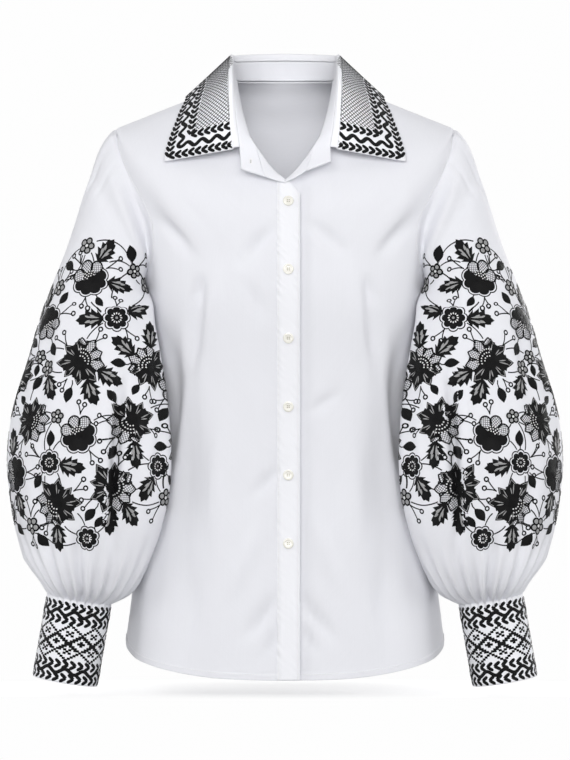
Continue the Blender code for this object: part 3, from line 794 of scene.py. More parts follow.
def fall_grid():
    """The collar's leaf with its roll: columns run from inside the fold out to the leaf's edge."""
    neck, fold, edge = collar_rows(COLLAR_PLACES)
    rise = unit(fold - neck)
    out = unit(np.cross(np.gradient(neck, axis=0), rise))
    out *= np.sign(np.sum(out * (edge - neck)))
    start = neck + (fold - neck) * STAND_SHARE + rise * 2 * SEAM + out * WALL
    turn = fold + out * WALL
    after = turn + out * 2 * FOLD_HALF_GAP - rise * FOLD_HALF_GAP
    inner = start[:, None] + (turn - start)[:, None] * np.linspace(0, 1, 5)[:-1, None]
    bend = np.linspace(0, np.pi, 7)[:, None]
    middle, reach = (turn + after) / 2, (turn - after) / 2
    lift = rise * np.linalg.norm(reach, axis=1, keepdims=True)
    roll = middle[:, None] + reach[:, None] * np.cos(bend) + lift[:, None] * np.sin(bend) * ROLL_HEIGHT
    leaf = after[:, None] + (edge - after)[:, None] * np.linspace(0, 1, LEAF_STEPS + 1)[1:, None]
    half = np.concatenate([inner, roll, leaf], axis=1)
    return np.concatenate([mirrored(half)[:0:-1], half])


def make_fall():
    """The collar's leaf; gives its outer face."""
    grid = fall_grid()
    face = grid + outward_normals(grid, inside=INSIDE_LEAF) * WALL
    cloth_piece("collar_fall_cloth", "collar_fall", [face], LEAF_CLOTH, inside=INSIDE_LEAF, finish=INTERFACED_AND_PAINTED_LIGHTER)
    return face


# ------------------------------------------------------------------ sleeves and cuffs

SLEEVE_POINTS = 180
ARMHOLE_UNDER = 0.0010
ARMHOLE_LAP = 0.0015
CAP_ROWS = 56
SECTION_ROWS = 104
SECTIONS_CROWD = 1.25  # above 1, the sections crowd towards the cuff
SLOPE_STEP = 0.01  # height over which the first section's slope is taken


def armhole_line(side):
    """Points spaced evenly round an armhole, under the body's edge, from the shoulder down the front."""
    front, front_ring = front_grid(side)
    back, back_ring = back_grid()
    back = back if side == "left" else back[:, ::-1]
    line = []
    for grid, ring, edge in ((front, front_ring, -1), (back, back_ring, 0)):
        inner = 3 if edge == 0 else -4
        opened = (ring[:, edge] > TIP - 0.01) & (ring[:, edge] < ARMPIT + 0.01)
        under = outward_normals(grid)[opened, edge] * -ARMHOLE_UNDER
        back_in = unit(grid[opened, inner] - grid[opened, edge]) * ARMHOLE_LAP
        line.append(grid[opened, edge] + under + back_in)
    line = np.concatenate([line[0], line[1][-2::-1]])
    line = line if side == "left" else mirrored(line)
    length = lengths_along(line, 0)
    return resampled(np.linspace(0, length[-1], SLEEVE_POINTS, endpoint=False), length, line)


def clear_of_body(points):
    """Moves points of the sleeve that lie inside the torso's side out to its surface."""
    rings = np.array(TORSO)[ARMPIT:]
    ring = np.interp(-points[:, 2], -rings[:, TORSO_COLUMNS.index("side_z")], rings[:, 0])
    row = row_at(TORSO_COLUMNS, TORSO, ring)
    room = 2 * LAYER + BODY_CLEARANCE * smooth_step(ARMPIT_Z, ARMPIT_Z - 0.05, points[:, 2])
    across = np.abs(points[:, 0]) / (row["width"] + room)
    deep = np.where(points[:, 1] < 0, -row["front_y"], row["back_y"]) + room
    along = np.abs(points[:, 1]) / deep
    power = row["square"]
    level = (across**power + along**power) ** (1 / power)
    push = np.where(level < 1, 1 / np.maximum(level, 0.1), 1)[:, None]
    return points * np.where((points[:, 2] < ARMPIT_Z)[:, None], (push - 1) * (1, 1, 0) + 1, 1)


def sleeve_section(z, angle):
    """Points of the sleeve at height z.  Angle 0 is its outer line and 90 its front."""
    row = row_at(SLEEVE_COLUMNS, SLEEVE, z)
    turn = np.radians(row["turn"])
    long_way = np.array((np.cos(turn), np.sin(turn), 0)) * row["half_long"]
    deep_way = np.array((np.sin(turn), -np.cos(turn), 0)) * row["half_deep"]
    ring = np.array((row["centre_x"], row["centre_y"], z))
    ring = ring + np.cos(angle)[:, None] * long_way + np.sin(angle)[:, None] * deep_way
    ring[:, 2] += row["tilt"] * (ring[:, 0] - row["centre_x"])
    return clear_of_body(ring)


def smooth_sleeve(armhole):
    """The wearer's left sleeve without its folds, from the armhole to the cuff."""
    angle = np.linspace(0, 2 * np.pi, SLEEVE_POINTS, endpoint=False)
    first = sleeve_section(SLEEVE[0][0], angle)
    below = sleeve_section(SLEEVE[0][0] - SLOPE_STEP, angle)
    leave = (armhole - armhole.mean(axis=0)) * CAP_SPREAD + (CAP_OUTWARD, 0, -CAP_DOWNWARD)
    arrive = (below - first) / SLOPE_STEP
    span = np.linalg.norm(first - armhole, axis=1, keepdims=True)
    leave *= span / CAP_SPAN
    shares = np.linspace(0, 1, CAP_ROWS, endpoint=False)
    cap = [clear_of_body(hermite(u, armhole, leave, first, arrive * span)) for u in shares]
    drop = 1 - (1 - np.linspace(0, 1, SECTION_ROWS)) ** SECTIONS_CROWD
    heights = SLEEVE[0][0] + (SLEEVE[-1][0] - SLEEVE[0][0]) * drop
    return np.array(cap + [sleeve_section(z, angle) for z in heights])


# Folds of the sleeve: the angle and height of the middle, the lean, half length and half width in
# metres round and down the sleeve, the depth and the bow.  Angles turn to metres at SLEEVE_ARC.
SLEEVE_ARC = 0.00145
SLEEVE_FOLDS = (
    (20, -0.090, 0, 0.040, 0.008, -0.0014, 0.000),
    (40, -0.092, 3, 0.036, 0.008, -0.0014, 0.000),
    (60, -0.300, -6, 0.080, 0.018, -0.0034, 0.004),
    (36, -0.330, 4, 0.090, 0.018, 0.0030, 0.000),
    (20, -0.420, 6, 0.080, 0.014, -0.0028, 0.000),
    (72, -0.455, -8, 0.070, 0.012, -0.0036, 0.003),
    (150, -0.300, 8, 0.080, 0.014, 0.0030, 0.000),
    (160, -0.400, 4, 0.080, 0.014, -0.0032, 0.000),
)
# Folds on the front and back of the left sleeve, by place across the shirt like the body's creases:
# the ridge from the sleeve's head with the hollow beside it, and the deep fold down the sleeve.
SLEEVE_CREASES = (
    (0.166, -0.140, 23, 0.082, 0.011, 0.0045, 0.002),
    (0.149, -0.152, 20, 0.088, 0.016, -0.0080, 0.000),
    (0.193, -0.120, 24, 0.060, 0.012, -0.0022, 0.002),
    (0.177, -0.395, -3, 0.125, 0.0085, -0.0155, 0.002),
    (0.192, -0.380, -3, 0.100, 0.012, 0.0030, 0.000),
    (0.162, -0.390, -4, 0.100, 0.011, 0.0030, 0.000),
    (0.236, -0.440, 14, 0.070, 0.012, -0.0030, 0.000),
)
# Gathers above the cuff: angle at the cuff, how far up they reach, half width in degrees at the
# cuff, depth, and how many degrees they drift on the way up.
GATHER_COLUMNS = ("angle", "reach", "half_width", "depth", "drift")
GATHERS = (
    (5, 0.055, 6.0, 0.0028, -3),
    (20, 0.105, 7.0, 0.0042, -8),
    (34, 0.060, 5.5, 0.0028, -6),
    (47, 0.095, 6.5, 0.0040, -9),
    (60, 0.070, 5.5, 0.0034, -5),
    (72, 0.125, 7.0, 0.0050, -3),
    (85, 0.060, 5.5, 0.0032, 1),
    (97, 0.145, 7.5, 0.0060, 5),
    (110, 0.080, 6.0, 0.0038, 6),
    (124, 0.110, 7.0, 0.0046, 10),
    (140, 0.070, 6.0, 0.0034, 8),
    (153, 0.105, 7.0, 0.0042, 9),
    (169, 0.060, 6.0, 0.0030, 4),
)
# Corrections of the sleeve's outer line: height, half height and depth.
OUTER_LINE = ((-0.165, 0.085, -0.0042), (-0.058, 0.038, 0.0028), (-0.526, 0.024, -0.0045))
OUTER_REACH = 75
GATHERED = 1.7
SLEEVE_TUCK = (0.002, 0.005)  # how far the sleeve runs on inside the cuff


def sleeve_relief(grid):
    """The sleeve with its folds and gathers."""
    degrees = np.linspace(0, 360, SLEEVE_POINTS, endpoint=False) + np.zeros(grid.shape[:2])
    z = grid[..., 2]
    front = np.minimum(degrees, 360 - degrees)
    shift = np.where(degrees > 180, 7.0, 0.0)
    folds = [(row[0] * SLEEVE_ARC, *row[1:]) for row in SLEEVE_FOLDS]
    depth = creased((front + shift) * SLEEVE_ARC, z - 0.1 * shift * SLEEVE_ARC, folds)
    for height, half_height, step in OUTER_LINE:
        depth += step * bump(z, height, half_height) * bump(front, 0, OUTER_REACH)
    up = z - SLEEVE[-1][0] - SLEEVE[-1][6] * (grid[..., 0] - SLEEVE[-1][1])
    for side in (1, -1):
        for gather in records(GATHER_COLUMNS, GATHERS):
            share = np.clip(up / gather["reach"], 0, 1)
            centre = (gather["angle"] + (0 if side > 0 else 5)) * side + gather["drift"] * side * share
            off = (degrees - centre + 180) % 360 - 180
            half_width = gather["half_width"] * (1 + 0.5 * share)
            strength = smooth_step(-0.005, 0.003, up) * (1 - smooth_step(0.15, 1, share))
            fold = bump(off, 0, half_width) - 0.5 * bump(off, 0, 2 * half_width)
            depth -= GATHERED * gather["depth"] * strength * fold
    normal = outward_normals(grid, wrap=True, inside=grid[CAP_ROWS + 20].mean(axis=0))
    depth += creased(grid[..., 0], z, SLEEVE_CREASES) * smooth_step(0.05, 0.45, np.abs(normal[..., 1]))
    depth *= smooth_step(0.0, 0.03, np.linspace(0, 1, len(grid)))[:, None]
    return grid + normal * depth[..., None]


def sleeve_grid(side):
    """The outer face of a sleeve, in the place of the wearer's left one."""
    grid = sleeve_relief(smooth_sleeve(armhole_line(side)))
    below = [clear_of_body(row) for row in grid[CAP_ROWS // 2 :]]
    axis = unit(np.array(CUFF_BOTTOM) - CUFF_TOP)
    tucked = [below[-1] + axis * step for step in SLEEVE_TUCK]
    return np.concatenate([grid[: CAP_ROWS // 2], below, tucked])


def left_cuff():
    """The wearer's left cuff's outer face, a leaning oval tube."""
    angle = np.linspace(0, 2 * np.pi, CUFF_COLUMNS, endpoint=False)
    top, bottom = np.array(CUFF_TOP), np.array(CUFF_BOTTOM)
    axis = unit(bottom - top)
    side = unit(np.cross((0, 1, 0), axis))
    front = np.cross(side, axis)
    wide, deep = CUFF_HALF_WIDTH + WALL, CUFF_HALF_DEPTH + WALL
    ring = wide * np.cos(angle)[:, None] * side + deep * np.sin(angle)[:, None] * front
    return np.array([top + (bottom - top) * share + ring for share in np.linspace(0, 1, CUFF_ROWS)])


def make_sleeve(side):
    """A sleeve and its cuff, and their outer faces."""
    flip = (1, 1, 1) if side == "left" else (-1, 1, 1)
    sleeve, cuff = sleeve_grid(side) * flip, left_cuff() * flip
    inside = sleeve[CAP_ROWS + 20].mean(axis=0)
    name = "sleeve_" + side
    cloth_piece(name + "_cloth", name, [sleeve], wrap=True, inside=inside)
    sleeve_face = Surface(sleeve, True, inside)
    inside = cuff.mean(axis=(0, 1))
    name = "cuff_" + side
    cloth_piece(name + "_cloth", name, [cuff], WALL, wrap=True, inside=inside, finish=INTERFACED_AND_PAINTED_LIGHTER)
    return sleeve_face, Surface(cuff, True, inside)


# ------------------------------------------------------------------ embroidery

IN_BLACK, IN_GREY, IN_WHITE = range(3)
EDGE = 0.00014  # how far a thread's edge stands off the cloth
RISE = 0.00046  # how far its middle stands up
LAYER_RISE = 0.00026  # how much higher each further layer of stitches lies


class Needlework:
    """Raised threads laid on a surface and joined into one mesh."""

    def __init__(self, surface):
        self.surface = surface
        self.cells, self.heights, self.quads, self.places, self.finish_of = [], [], [], [], []
        self.count = 0

    def lay(self, cells, crown, finish, place, layer=0):
        """A patch: its grid of cells, 0 to 1 for the height of each point, and its thread direction."""
        rows, columns = crown.shape
        self.cells.append(cells.reshape(-1, 2))
        self.heights.append((crown * (RISE - EDGE) + EDGE + layer * LAYER_RISE).ravel())
        self.quads.append(grid_faces(rows, columns, first=self.count))
        self.places.append(place.reshape(-1, 2))
        self.finish_of.append(np.full((rows - 1) * (columns - 1), finish))
        self.count += rows * columns

    def finished(self, name):
        points, normals = self.surface.at(np.concatenate(self.cells))
        points = points + normals * np.concatenate(self.heights)[:, None]
        quads = np.concatenate(self.quads)
        first, second, third, fourth = (points[quads[:, k]] for k in range(4))
        facing = np.cross(third - first, fourth - second)
        turned = np.sum(facing * normals[quads[:, 0]], axis=1) < 0
        quads = np.where(turned[:, None], quads[:, ::-1], quads)
        places, finish_of = np.concatenate(self.places), np.concatenate(self.finish_of)
        made = mesh_object(name, points, quads, places, (BLACK, GREY, FLOSS), finish_of)
        return made


class Pen:
    """Draws in metres round a place on the cloth, x to the right and y up, turned by some degrees."""

    def __init__(self, work, cell, frame, layer=0):
        self.work, self.cell, self.frame, self.layer = work, np.asarray(cell, float), frame, layer

    def turned(self, degrees):
        turn = np.radians(degrees)
        spin = np.array(((np.cos(turn), np.sin(turn)), (-np.sin(turn), np.cos(turn))))
        return Pen(self.work, self.cell, spin @ self.frame, self.layer)

    def moved(self, x, y):
        return Pen(self.work, self.cell + np.array((x, y)) @ self.frame, self.frame, self.layer)

    def draw(self, shape, finish, layer=0):
        points, crown, place = shape
        self.work.lay(self.cell + points @ self.frame, crown, finish, place, self.layer + layer)


def pen_at(work, cell, turn=0.0):
    return Pen(work, cell, work.surface.frame(np.asarray(cell, float))).turned(turn)


def strip(path, width, closed=False):
    """A crowned line of satin stitch along a path."""
    path = np.asarray(path, float)
    if closed:
        path = np.concatenate([path, path[:1]])
    ahead = np.gradient(path, axis=0)
    if closed:
        ahead[0] = ahead[-1] = path[1] - path[-2]
    aside = unit(to_the_left(ahead)) * np.reshape(width, (-1, 1)) / 2
    points = path[:, None] + aside[:, None] * np.array((-1, 0, 1))[:, None]
    run = lengths_along(path, 0)
    place = np.stack(np.broadcast_arrays(run[:, None], np.array((-1, 0, 1)) * 0.001), axis=-1)
    return points, np.zeros(points.shape[:2]) + (0, 1, 0), place


BLADE_ACROSS = np.array((-1, -0.62, 0, 0.62, 1))


def blade(outline, length, width, bend=0.0):
    """A leaf or petal from rows of (share of the length, share of the width), bent sideways."""
    along, half = np.array(outline, float).T
    x = half[:, None] * width * BLADE_ACROSS + bend * length * 4 * (along * (1 - along))[:, None]
    y = along[:, None] * length + np.zeros(len(BLADE_ACROSS))
    crown = (1 - np.abs(BLADE_ACROSS) ** 3) * np.minimum(half[:, None] * 12, 1)
    place = np.stack([y + 0.6 * np.abs(half[:, None] * width * BLADE_ACROSS), x], axis=-1)
    return np.stack([x, y], axis=-1), crown, place


def edge_of(shape):
    """The outline of a blade, up one side and down the other."""
    points = shape[0]
    return np.concatenate([points[:, 0], points[::-1, -1]])


def disc(radius, count=24, start=0.0, end=360.0, rings=(0.0, 0.5, 0.85, 1.0)):
    """A crowned disc or fan whose radius may be a function of the angle in degrees."""
    angle = np.linspace(start, end, count + 1)
    far = radius(angle) if callable(radius) else np.full(len(angle), radius)
    far = np.array(rings)[:, None] * far
    turn = np.radians(angle)
    points = np.stack([far * np.sin(turn), far * np.cos(turn)], axis=-1)
    crown = (1 - np.array(rings)[:, None] ** 4) + np.zeros(len(angle))
    place = np.stack([np.degrees(turn) * 0.00012 + np.zeros_like(far), far], axis=-1)
    return points, crown, place


def ring_path(radius, count=24, start=0.0, end=360.0):
    """Points round a centre, without the repeated last one on a whole turn."""
    angle = np.linspace(start, end, count + 1)[: count if end - start >= 360 else count + 1]
    far = radius(angle) if callable(radius) else radius
    turn = np.radians(angle)
    return np.stack([far * np.sin(turn), far * np.cos(turn)], axis=1)


NET_POINTS = 0.003  # distance between the points of a line of net


def net(pen, holds, centre, reach, pitch, width, turn, step=0.0011):
    """Crossed lines of thread, each from where it enters a shape to where it leaves it."""
    for degrees in (turn, turn + 90):
        lean = np.radians(degrees)
        ahead = np.array((np.cos(lean), np.sin(lean)))
        aside = np.array((-ahead[1], ahead[0]))
        run = np.arange(-reach, reach + step, step)
        for offset in np.arange(-reach, reach + pitch, pitch):
            path = centre + offset * aside + run[:, None] * ahead
            inside = np.flatnonzero(holds(path))
            if len(inside) > 1:
                ends = path[[inside[0], inside[-1]]]
                count = max(2, int(np.linalg.norm(ends[1] - ends[0]) / NET_POINTS) + 1)
                share = np.linspace(0, 1, count)[:, None]
                pen.draw(strip(ends[0] + (ends[1] - ends[0]) * share, width), IN_BLACK)


# ------------------------------------------------------------------ motifs

# Outlines: shares of the length and of the half width.
LEAF = (
    (0.0, 0.0), (0.08, 0.32), (0.22, 0.72), (0.38, 0.96), (0.52, 1.0), (0.68, 0.84),
    (0.82, 0.52), (0.93, 0.2), (1.0, 0.0),
)
POINTED = (
    (0.0, 0.26), (0.18, 0.44), (0.36, 0.72), (0.52, 0.95), (0.66, 1.10), (0.69, 0.70),
    (0.80, 0.50), (0.90, 0.27), (1.0, 0.0),
)
SLIT = ((0.0, 0.0), (0.2, 0.6), (0.5, 1.0), (0.8, 0.7), (1.0, 0.0))
TEETH = 4
TOOTH = ((0.5, 1.0), (0.97, 1.30), (1.0, 0.78))  # shares of a tooth's length, and its swell
LEAF_WIDTH = 0.29  # half width of a leaf, as a share of its length
VEINS = ((0.02, 8, 0.50), (0.12, 27, 0.27), (0.34, 24, 0.22))  # start, turn and length in a leaf of 1
CONTOUR = 0.0013  # fine outlines
BERRY = 0.0029
ROSETTE_LOBES = 8
NET_PITCH = 0.0022
NET_LINE = 0.00046
KNOT, KNOT_PITCH = 0.00085, 0.0027
KNOT_ROWS = (0.38, 0.66, 0.94)  # shares of the heart's radius
STEM = 0.0013
STEMS = 3  # of the flowers nearest to each, how many it is joined to


def serrated():
    """A leaf outline with forward-pointing teeth."""
    rows = [(0, 0.12)]
    for tooth in range(TEETH):
        for share, swell in TOOTH:
            along = (tooth + share) / (TEETH + 0.6)
            rows.append((along, swell * np.sin(np.pi * along**0.78) ** 0.75))
    return rows + [(1, 0)]


def plain_leaf(pen, length):
    pen.draw(blade(LEAF, length, LEAF_WIDTH * length, 0.05), IN_BLACK)


def toothed_leaf(pen, length, bend=0.03):
    """A black toothed leaf with grey veins of satin stitch between its ribs."""
    pen.draw(blade(serrated(), length, LEAF_WIDTH * length, bend), IN_BLACK)
    veins = pen.moved(0, 0.12 * length)
    for side in (1, -1):
        for start, turn, size in VEINS:
            lean = veins.moved(side * 0.040 * length + bend * length * 2 * start, start * length)
            lean.turned(-side * turn).draw(blade(SLIT, size * length, 0.036 * length), IN_GREY, 1)


def berries(pen, length):
    """A fine sprig with open-ring berries at its two tips."""
    for turn, reach in ((-16, length), (28, 0.76 * length)):
        share = np.linspace(0, 1, 9)
        path = np.stack([np.sin(np.radians(turn)) * reach * share**1.6, reach * share], axis=1)
        pen.draw(strip(path, CONTOUR), IN_BLACK)
        tip = pen.moved(*(path[-1] + (0, 0.8 * BERRY)))
        tip.draw(strip(ring_path(0.76 * BERRY, 12), 0.56 * BERRY, closed=True), IN_BLACK)


def blossom(pen, radius):
    """Five round grey petals, each with a thick black outline, round a white centre."""
    for number in range(5):
        petal = pen.turned(72 * number).moved(0, 0.60 * radius)
        petal.draw(disc(0.33 * radius, 14), IN_GREY)
        petal.draw(strip(ring_path(0.36 * radius, 16), 0.0018, closed=True), IN_BLACK, 1)
    pen.draw(disc(0.2 * radius, 10), IN_WHITE, 2)
    pen.draw(strip(ring_path(0.22 * radius, 10), 0.0008, closed=True), IN_BLACK, 2)


def scallops(radius, lobes, depth):
    return lambda angle: radius * (1 - depth + depth * np.abs(np.cos(np.radians(angle) * lobes / 2)) ** 0.7)


def rosette(pen, radius):
    """A black lobed flower inside a thin scalloped outline, with a ring of white stitches."""
    pen.draw(disc(scallops(0.84 * radius, ROSETTE_LOBES, 0.20), 8 * ROSETTE_LOBES), IN_BLACK)
    outline = ring_path(scallops(radius, ROSETTE_LOBES, 0.17), 8 * ROSETTE_LOBES)
    pen.draw(strip(outline, CONTOUR, closed=True), IN_BLACK)
    for number in range(12):
        dash = pen.turned(30 * number).moved(0, 0.24 * radius)
        dash.draw(blade(SLIT, 0.17 * radius, 0.055 * radius), IN_WHITE, 1)
    pen.draw(disc(0.10 * radius, 8), IN_GREY, 1)


def netted_petal(pen, outline, start, length, width):
    """A petal left as bare cloth under a fine net, with a black outline."""
    petal = pen.moved(0, start)
    shape = blade(outline, length, width)
    along, half = np.array(outline, float).T

    def holds(points):
        reach = np.interp(points[:, 1] / length, along, half, left=0, right=0) * width
        return np.abs(points[:, 0]) < reach

    middle = np.array((0, length / 2))
    net(petal, holds, middle, 0.72 * length, NET_PITCH, NET_LINE, 38)
    petal.draw(strip(edge_of(shape), 0.0015), IN_BLACK, 1)


def dotted_heart(pen, radius, start, end):
    """A black patch full of small white knots, on one side of a flower's centre."""
    pen.draw(disc(radius, 20, start, end), IN_BLACK, 1)
    for row, share in enumerate(KNOT_ROWS):
        count = int((end - start) / 360 * 2 * np.pi * share * radius / KNOT_PITCH)
        for number in range(count):
            angle = np.radians(start + (end - start) * (number + 0.5 * (row % 2) + 0.25) / count)
            knot = pen.moved(share * radius * np.sin(angle), share * radius * np.cos(angle))
            knot.draw(disc(KNOT, 6, rings=(0, 1)), IN_WHITE, 2.4)


def pointed_flower(pen, radius):
    """A big flower: black three-pointed petals on one side, netted ones on the other."""
    for number, angle in enumerate((-62, -26, 8, 42)):
        size = 0.80 + 0.06 * (number % 2)
        netted_petal(pen.turned(-angle), POINTED, 0.30 * radius, (size - 0.26) * radius, 0.235 * radius)
    for number, angle in enumerate((82, 123, 164, 206, 248, 290)):
        petal = pen.turned(-angle)
        length = (1.0 - 0.08 * (number % 3)) * radius
        bend = 0.03 * (-1) ** number
        petal.draw(blade(POINTED, length, 0.275 * length, bend), IN_BLACK)
        inner = edge_of(blade(POINTED, 0.86 * length, 0.235 * length, bend))
        petal.draw(strip(inner[6:-6] + (0, 0.06 * length), 0.00062), IN_GREY, 1)
        for side in (1, -1):
            slit = petal.moved(0.02 * side * length, 0.36 * length).turned(-9 * side)
            slit.draw(blade(SLIT, (0.36 - 0.06 * side) * length, 0.024 * length), IN_GREY, 1)
    pen.draw(disc(0.24 * radius, 14), IN_BLACK, 1)
    dotted_heart(pen, 0.46 * radius, -76, 56)


def round_flower(pen, radius):
    """A flower with a black lobed body in a thin outline, and three netted round petals."""

    def body(angle, gap=0.0):
        return radius * (0.74 + 0.14 * np.abs(np.sin(np.radians(angle - 70) * 4.186)) ** 0.7) + gap

    pen.draw(disc(body, 80, 70, 285), IN_BLACK)
    outline = ring_path(lambda angle: body(angle, 0.10 * radius), 80, 66, 289)
    pen.draw(strip(outline, CONTOUR), IN_BLACK)
    for angle in (-52, -3, 46):
        petal = pen.turned(-angle).moved(0, 0.66 * radius)
        size = 0.30 * radius
        net(petal, lambda points: np.hypot(*points.T) < size, np.zeros(2), size, NET_PITCH, NET_LINE, 30)
        petal.draw(strip(ring_path(size, 18), 0.0017, closed=True), IN_BLACK, 1)
    pen.draw(disc(0.26 * radius, 14), IN_BLACK, 1)
    dotted_heart(pen, 0.42 * radius, -74, 66)


# ------------------------------------------------------------------ the sleeves' embroidery

# The larger motifs: angle round the sleeve, height, kind, radius and turn.  They repeat on the
# sleeve's other half, half a turn on.
MOTIF_COLUMNS = ("angle", "z", "kind", "radius", "turn")
MOTIFS = (
    (88, -0.204, "round", 0.0215, 40),
    (122, -0.246, "rosette", 0.0150, 0),
    (52, -0.250, "round", 0.0210, -150),
    (96, -0.292, "pointed", 0.0300, -60),
    (24, -0.262, "blossom", 0.0095, 10),
    (152, -0.298, "pointed", 0.0275, 35),
    (66, -0.300, "blossom", 0.0094, 30),
    (33, -0.308, "pointed", 0.0270, 160),
    (62, -0.356, "pointed", 0.0285, -110),
    (136, -0.356, "pointed", 0.0295, 130),
    (184, -0.322, "round", 0.0205, 70),
    (100, -0.370, "round", 0.0215, 20),
    (192, -0.385, "pointed", 0.0290, -40),
    (80, -0.400, "rosette", 0.0135, 50),
    (46, -0.414, "round", 0.0215, 100),
    (160, -0.404, "rosette", 0.0140, 0),
    (84, -0.444, "pointed", 0.0300, 120),
    (123, -0.426, "pointed", 0.0290, -120),
    (170, -0.438, "blossom", 0.0095, 0),
    (28, -0.456, "rosette", 0.0136, 15),
    (60, -0.468, "blossom", 0.0095, 40),
    (106, -0.480, "rosette", 0.0132, 20),
)
DRAWN = {"pointed": pointed_flower, "round": round_flower, "rosette": rosette, "blossom": blossom}
# The field's top and foot at its middle line, how far they close in at its sides, and that middle.
FIELD_TOP, TOP_FALL = -0.160, 0.100
FIELD_FOOT, FOOT_RISE = -0.492, 0.045
FIELD_MIDDLE = 88
LEAF_TURNS, NEXT_TURN = 18, 7  # directions tried round a flower for a leaf, and how they follow
FLOWER_TURN = 47  # degrees between the first directions of one flower and the next
CORE = 0.80  # share of a pointed flower's radius where leaves and stems may start, between its petals
ROOM = 0.0008  # least room between neighbouring motifs


class Garden:
    """Keeps the places taken on a sleeve, so that leaves and sprigs only grow into free cloth."""

    def __init__(self, surface):
        self.surface = surface
        self.centres, self.sizes = np.zeros((0, 3)), np.zeros(0)
        self.flowers = []

    def cell(self, angle, z):
        column = angle / 360 * SLEEVE_POINTS
        heights = self.surface.grid[:, int(round(column)) % SLEEVE_POINTS, 2]
        return np.array((np.interp(-z, -heights, np.arange(len(heights))), column))

    def take(self, cells, size):
        points = self.surface.at(np.atleast_2d(cells))[0]
        self.centres = np.concatenate([self.centres, points])
        self.sizes = np.concatenate([self.sizes, np.full(len(points), size)])

    def plant(self, cell, radius, reach=1.0):
        """Adds a flower, whose own place doesn't keep its leaves away."""
        self.flowers.append((cell, radius, len(self.sizes)))
        self.take(cell, radius * reach)

    def free(self, cells, size, own=None):
        cells = np.atleast_2d(cells)
        points = self.surface.at(cells)[0]
        degrees = (cells[:, 1] * 360 / SLEEVE_POINTS - FIELD_MIDDLE + 90) % 180 - 90
        aside = (degrees / 90) ** 2
        top, foot = FIELD_TOP - TOP_FALL * aside, FIELD_FOOT + FOOT_RISE * aside
        if np.any(points[:, 2] > top) or np.any(points[:, 2] < foot):
            return False
        gaps = np.linalg.norm(points[:, None] - self.centres, axis=2) - self.sizes - size
        if own is not None:
            gaps[:, own] = np.inf
        return gaps.min() > ROOM


# What grows round the flowers, in turn: the drawing, its length and half width, where it starts as
# a share of the flower's radius, and the most to a flower.
GROWTH_COLUMNS = ("draw", "length", "half_width", "start", "most")
FIRST_GROWTHS = (
    (toothed_leaf, 0.031, 0.0078, 0.92, 2),
    (plain_leaf, 0.018, 0.0048, 1.25, 1),
    (berries, 0.018, 0.0066, 0.98, 1),
)
LAST_GROWTHS = (
    (plain_leaf, 0.018, 0.0048, 1.20, 1),
    (toothed_leaf, 0.026, 0.0066, 0.95, 2),
    (berries, 0.014, 0.0056, 0.98, 1),
    (plain_leaf, 0.017, 0.0046, 1.12, 2),
    (berries, 0.011, 0.0046, 0.98, 1),
    (plain_leaf, 0.014, 0.0040, 1.08, 3),
)
FIRST_TURN, LAST_TURN = 23, 31  # degrees between the first directions tried for one growth and the next
GAP_BLOSSOMS = ((0.0120, 0.0095), (0.0098, 0.0078))  # least clear radius, blossom's radius
GAP_STEP, GAP_SHUFFLE = 3, 53  # cells from one place tried to the next, and what scatters them round
GAP_TURN = 13  # degrees between the blossoms of one row and the next


def grow(work, garden, growth, seed):
    """Adds one kind of leaf or sprig round each flower, wherever there is room for it."""
    length, half_width = growth["length"], growth["half_width"]
    along = np.arange(half_width * 1.1, length, half_width * 0.8)
    for number, (cell, radius, own) in enumerate(garden.flowers):
        start, count = radius * growth["start"], 0
        for turn in range(LEAF_TURNS):
            degrees = (turn * NEXT_TURN % LEAF_TURNS) * 360 / LEAF_TURNS + FLOWER_TURN * number + seed
            pen = pen_at(work, pen_at(work, cell, degrees).moved(0, start).cell, degrees)
            cells = pen.cell + np.stack([np.zeros(len(along)), along], axis=1) @ pen.frame
            if count < growth["most"] and garden.free(cells, half_width, own):
                garden.take(cells, half_width)
                growth["draw"](pen, length)
                if growth["draw"] is plain_leaf:
                    gap = start - 0.95 * radius
                    pen.draw(strip([(0.0015, -gap), (0, -gap / 2), (0, 0.001)], STEM), IN_BLACK)
                count += 1


def fill_gaps(work, garden):
    """Blossoms in the widest gaps left."""
    rows, columns = garden.surface.grid.shape[:2]
    for clear, size in GAP_BLOSSOMS:
        for row in range(CAP_ROWS // 2, rows, GAP_STEP):
            for column in range(0, columns, GAP_STEP):
                cell = np.array((row, (column * GAP_SHUFFLE) % columns), float)
                if garden.free(cell, clear - ROOM):
                    blossom(pen_at(work, cell, row * GAP_TURN), size)
                    garden.plant(cell, size)


def stem(work, start, end, gaps, bend, width=STEM):
    """A curved stem between two cells, which leaves room for a flower at each end."""
    frame = work.surface.frame((start + end) / 2)
    to_metres = np.linalg.inv(frame)
    run = (end - start) @ to_metres
    far = np.linalg.norm(run)
    if far < sum(gaps) + 0.003:
        return
    share = np.linspace(gaps[0] / far, 1 - gaps[1] / far, 24)[:, None]
    path = run * share + np.array((-run[1], run[0])) * bend * 4 * share * (1 - share)
    points, crown, place = strip(path, width)
    work.lay(start + points @ frame, crown, IN_BLACK, place)


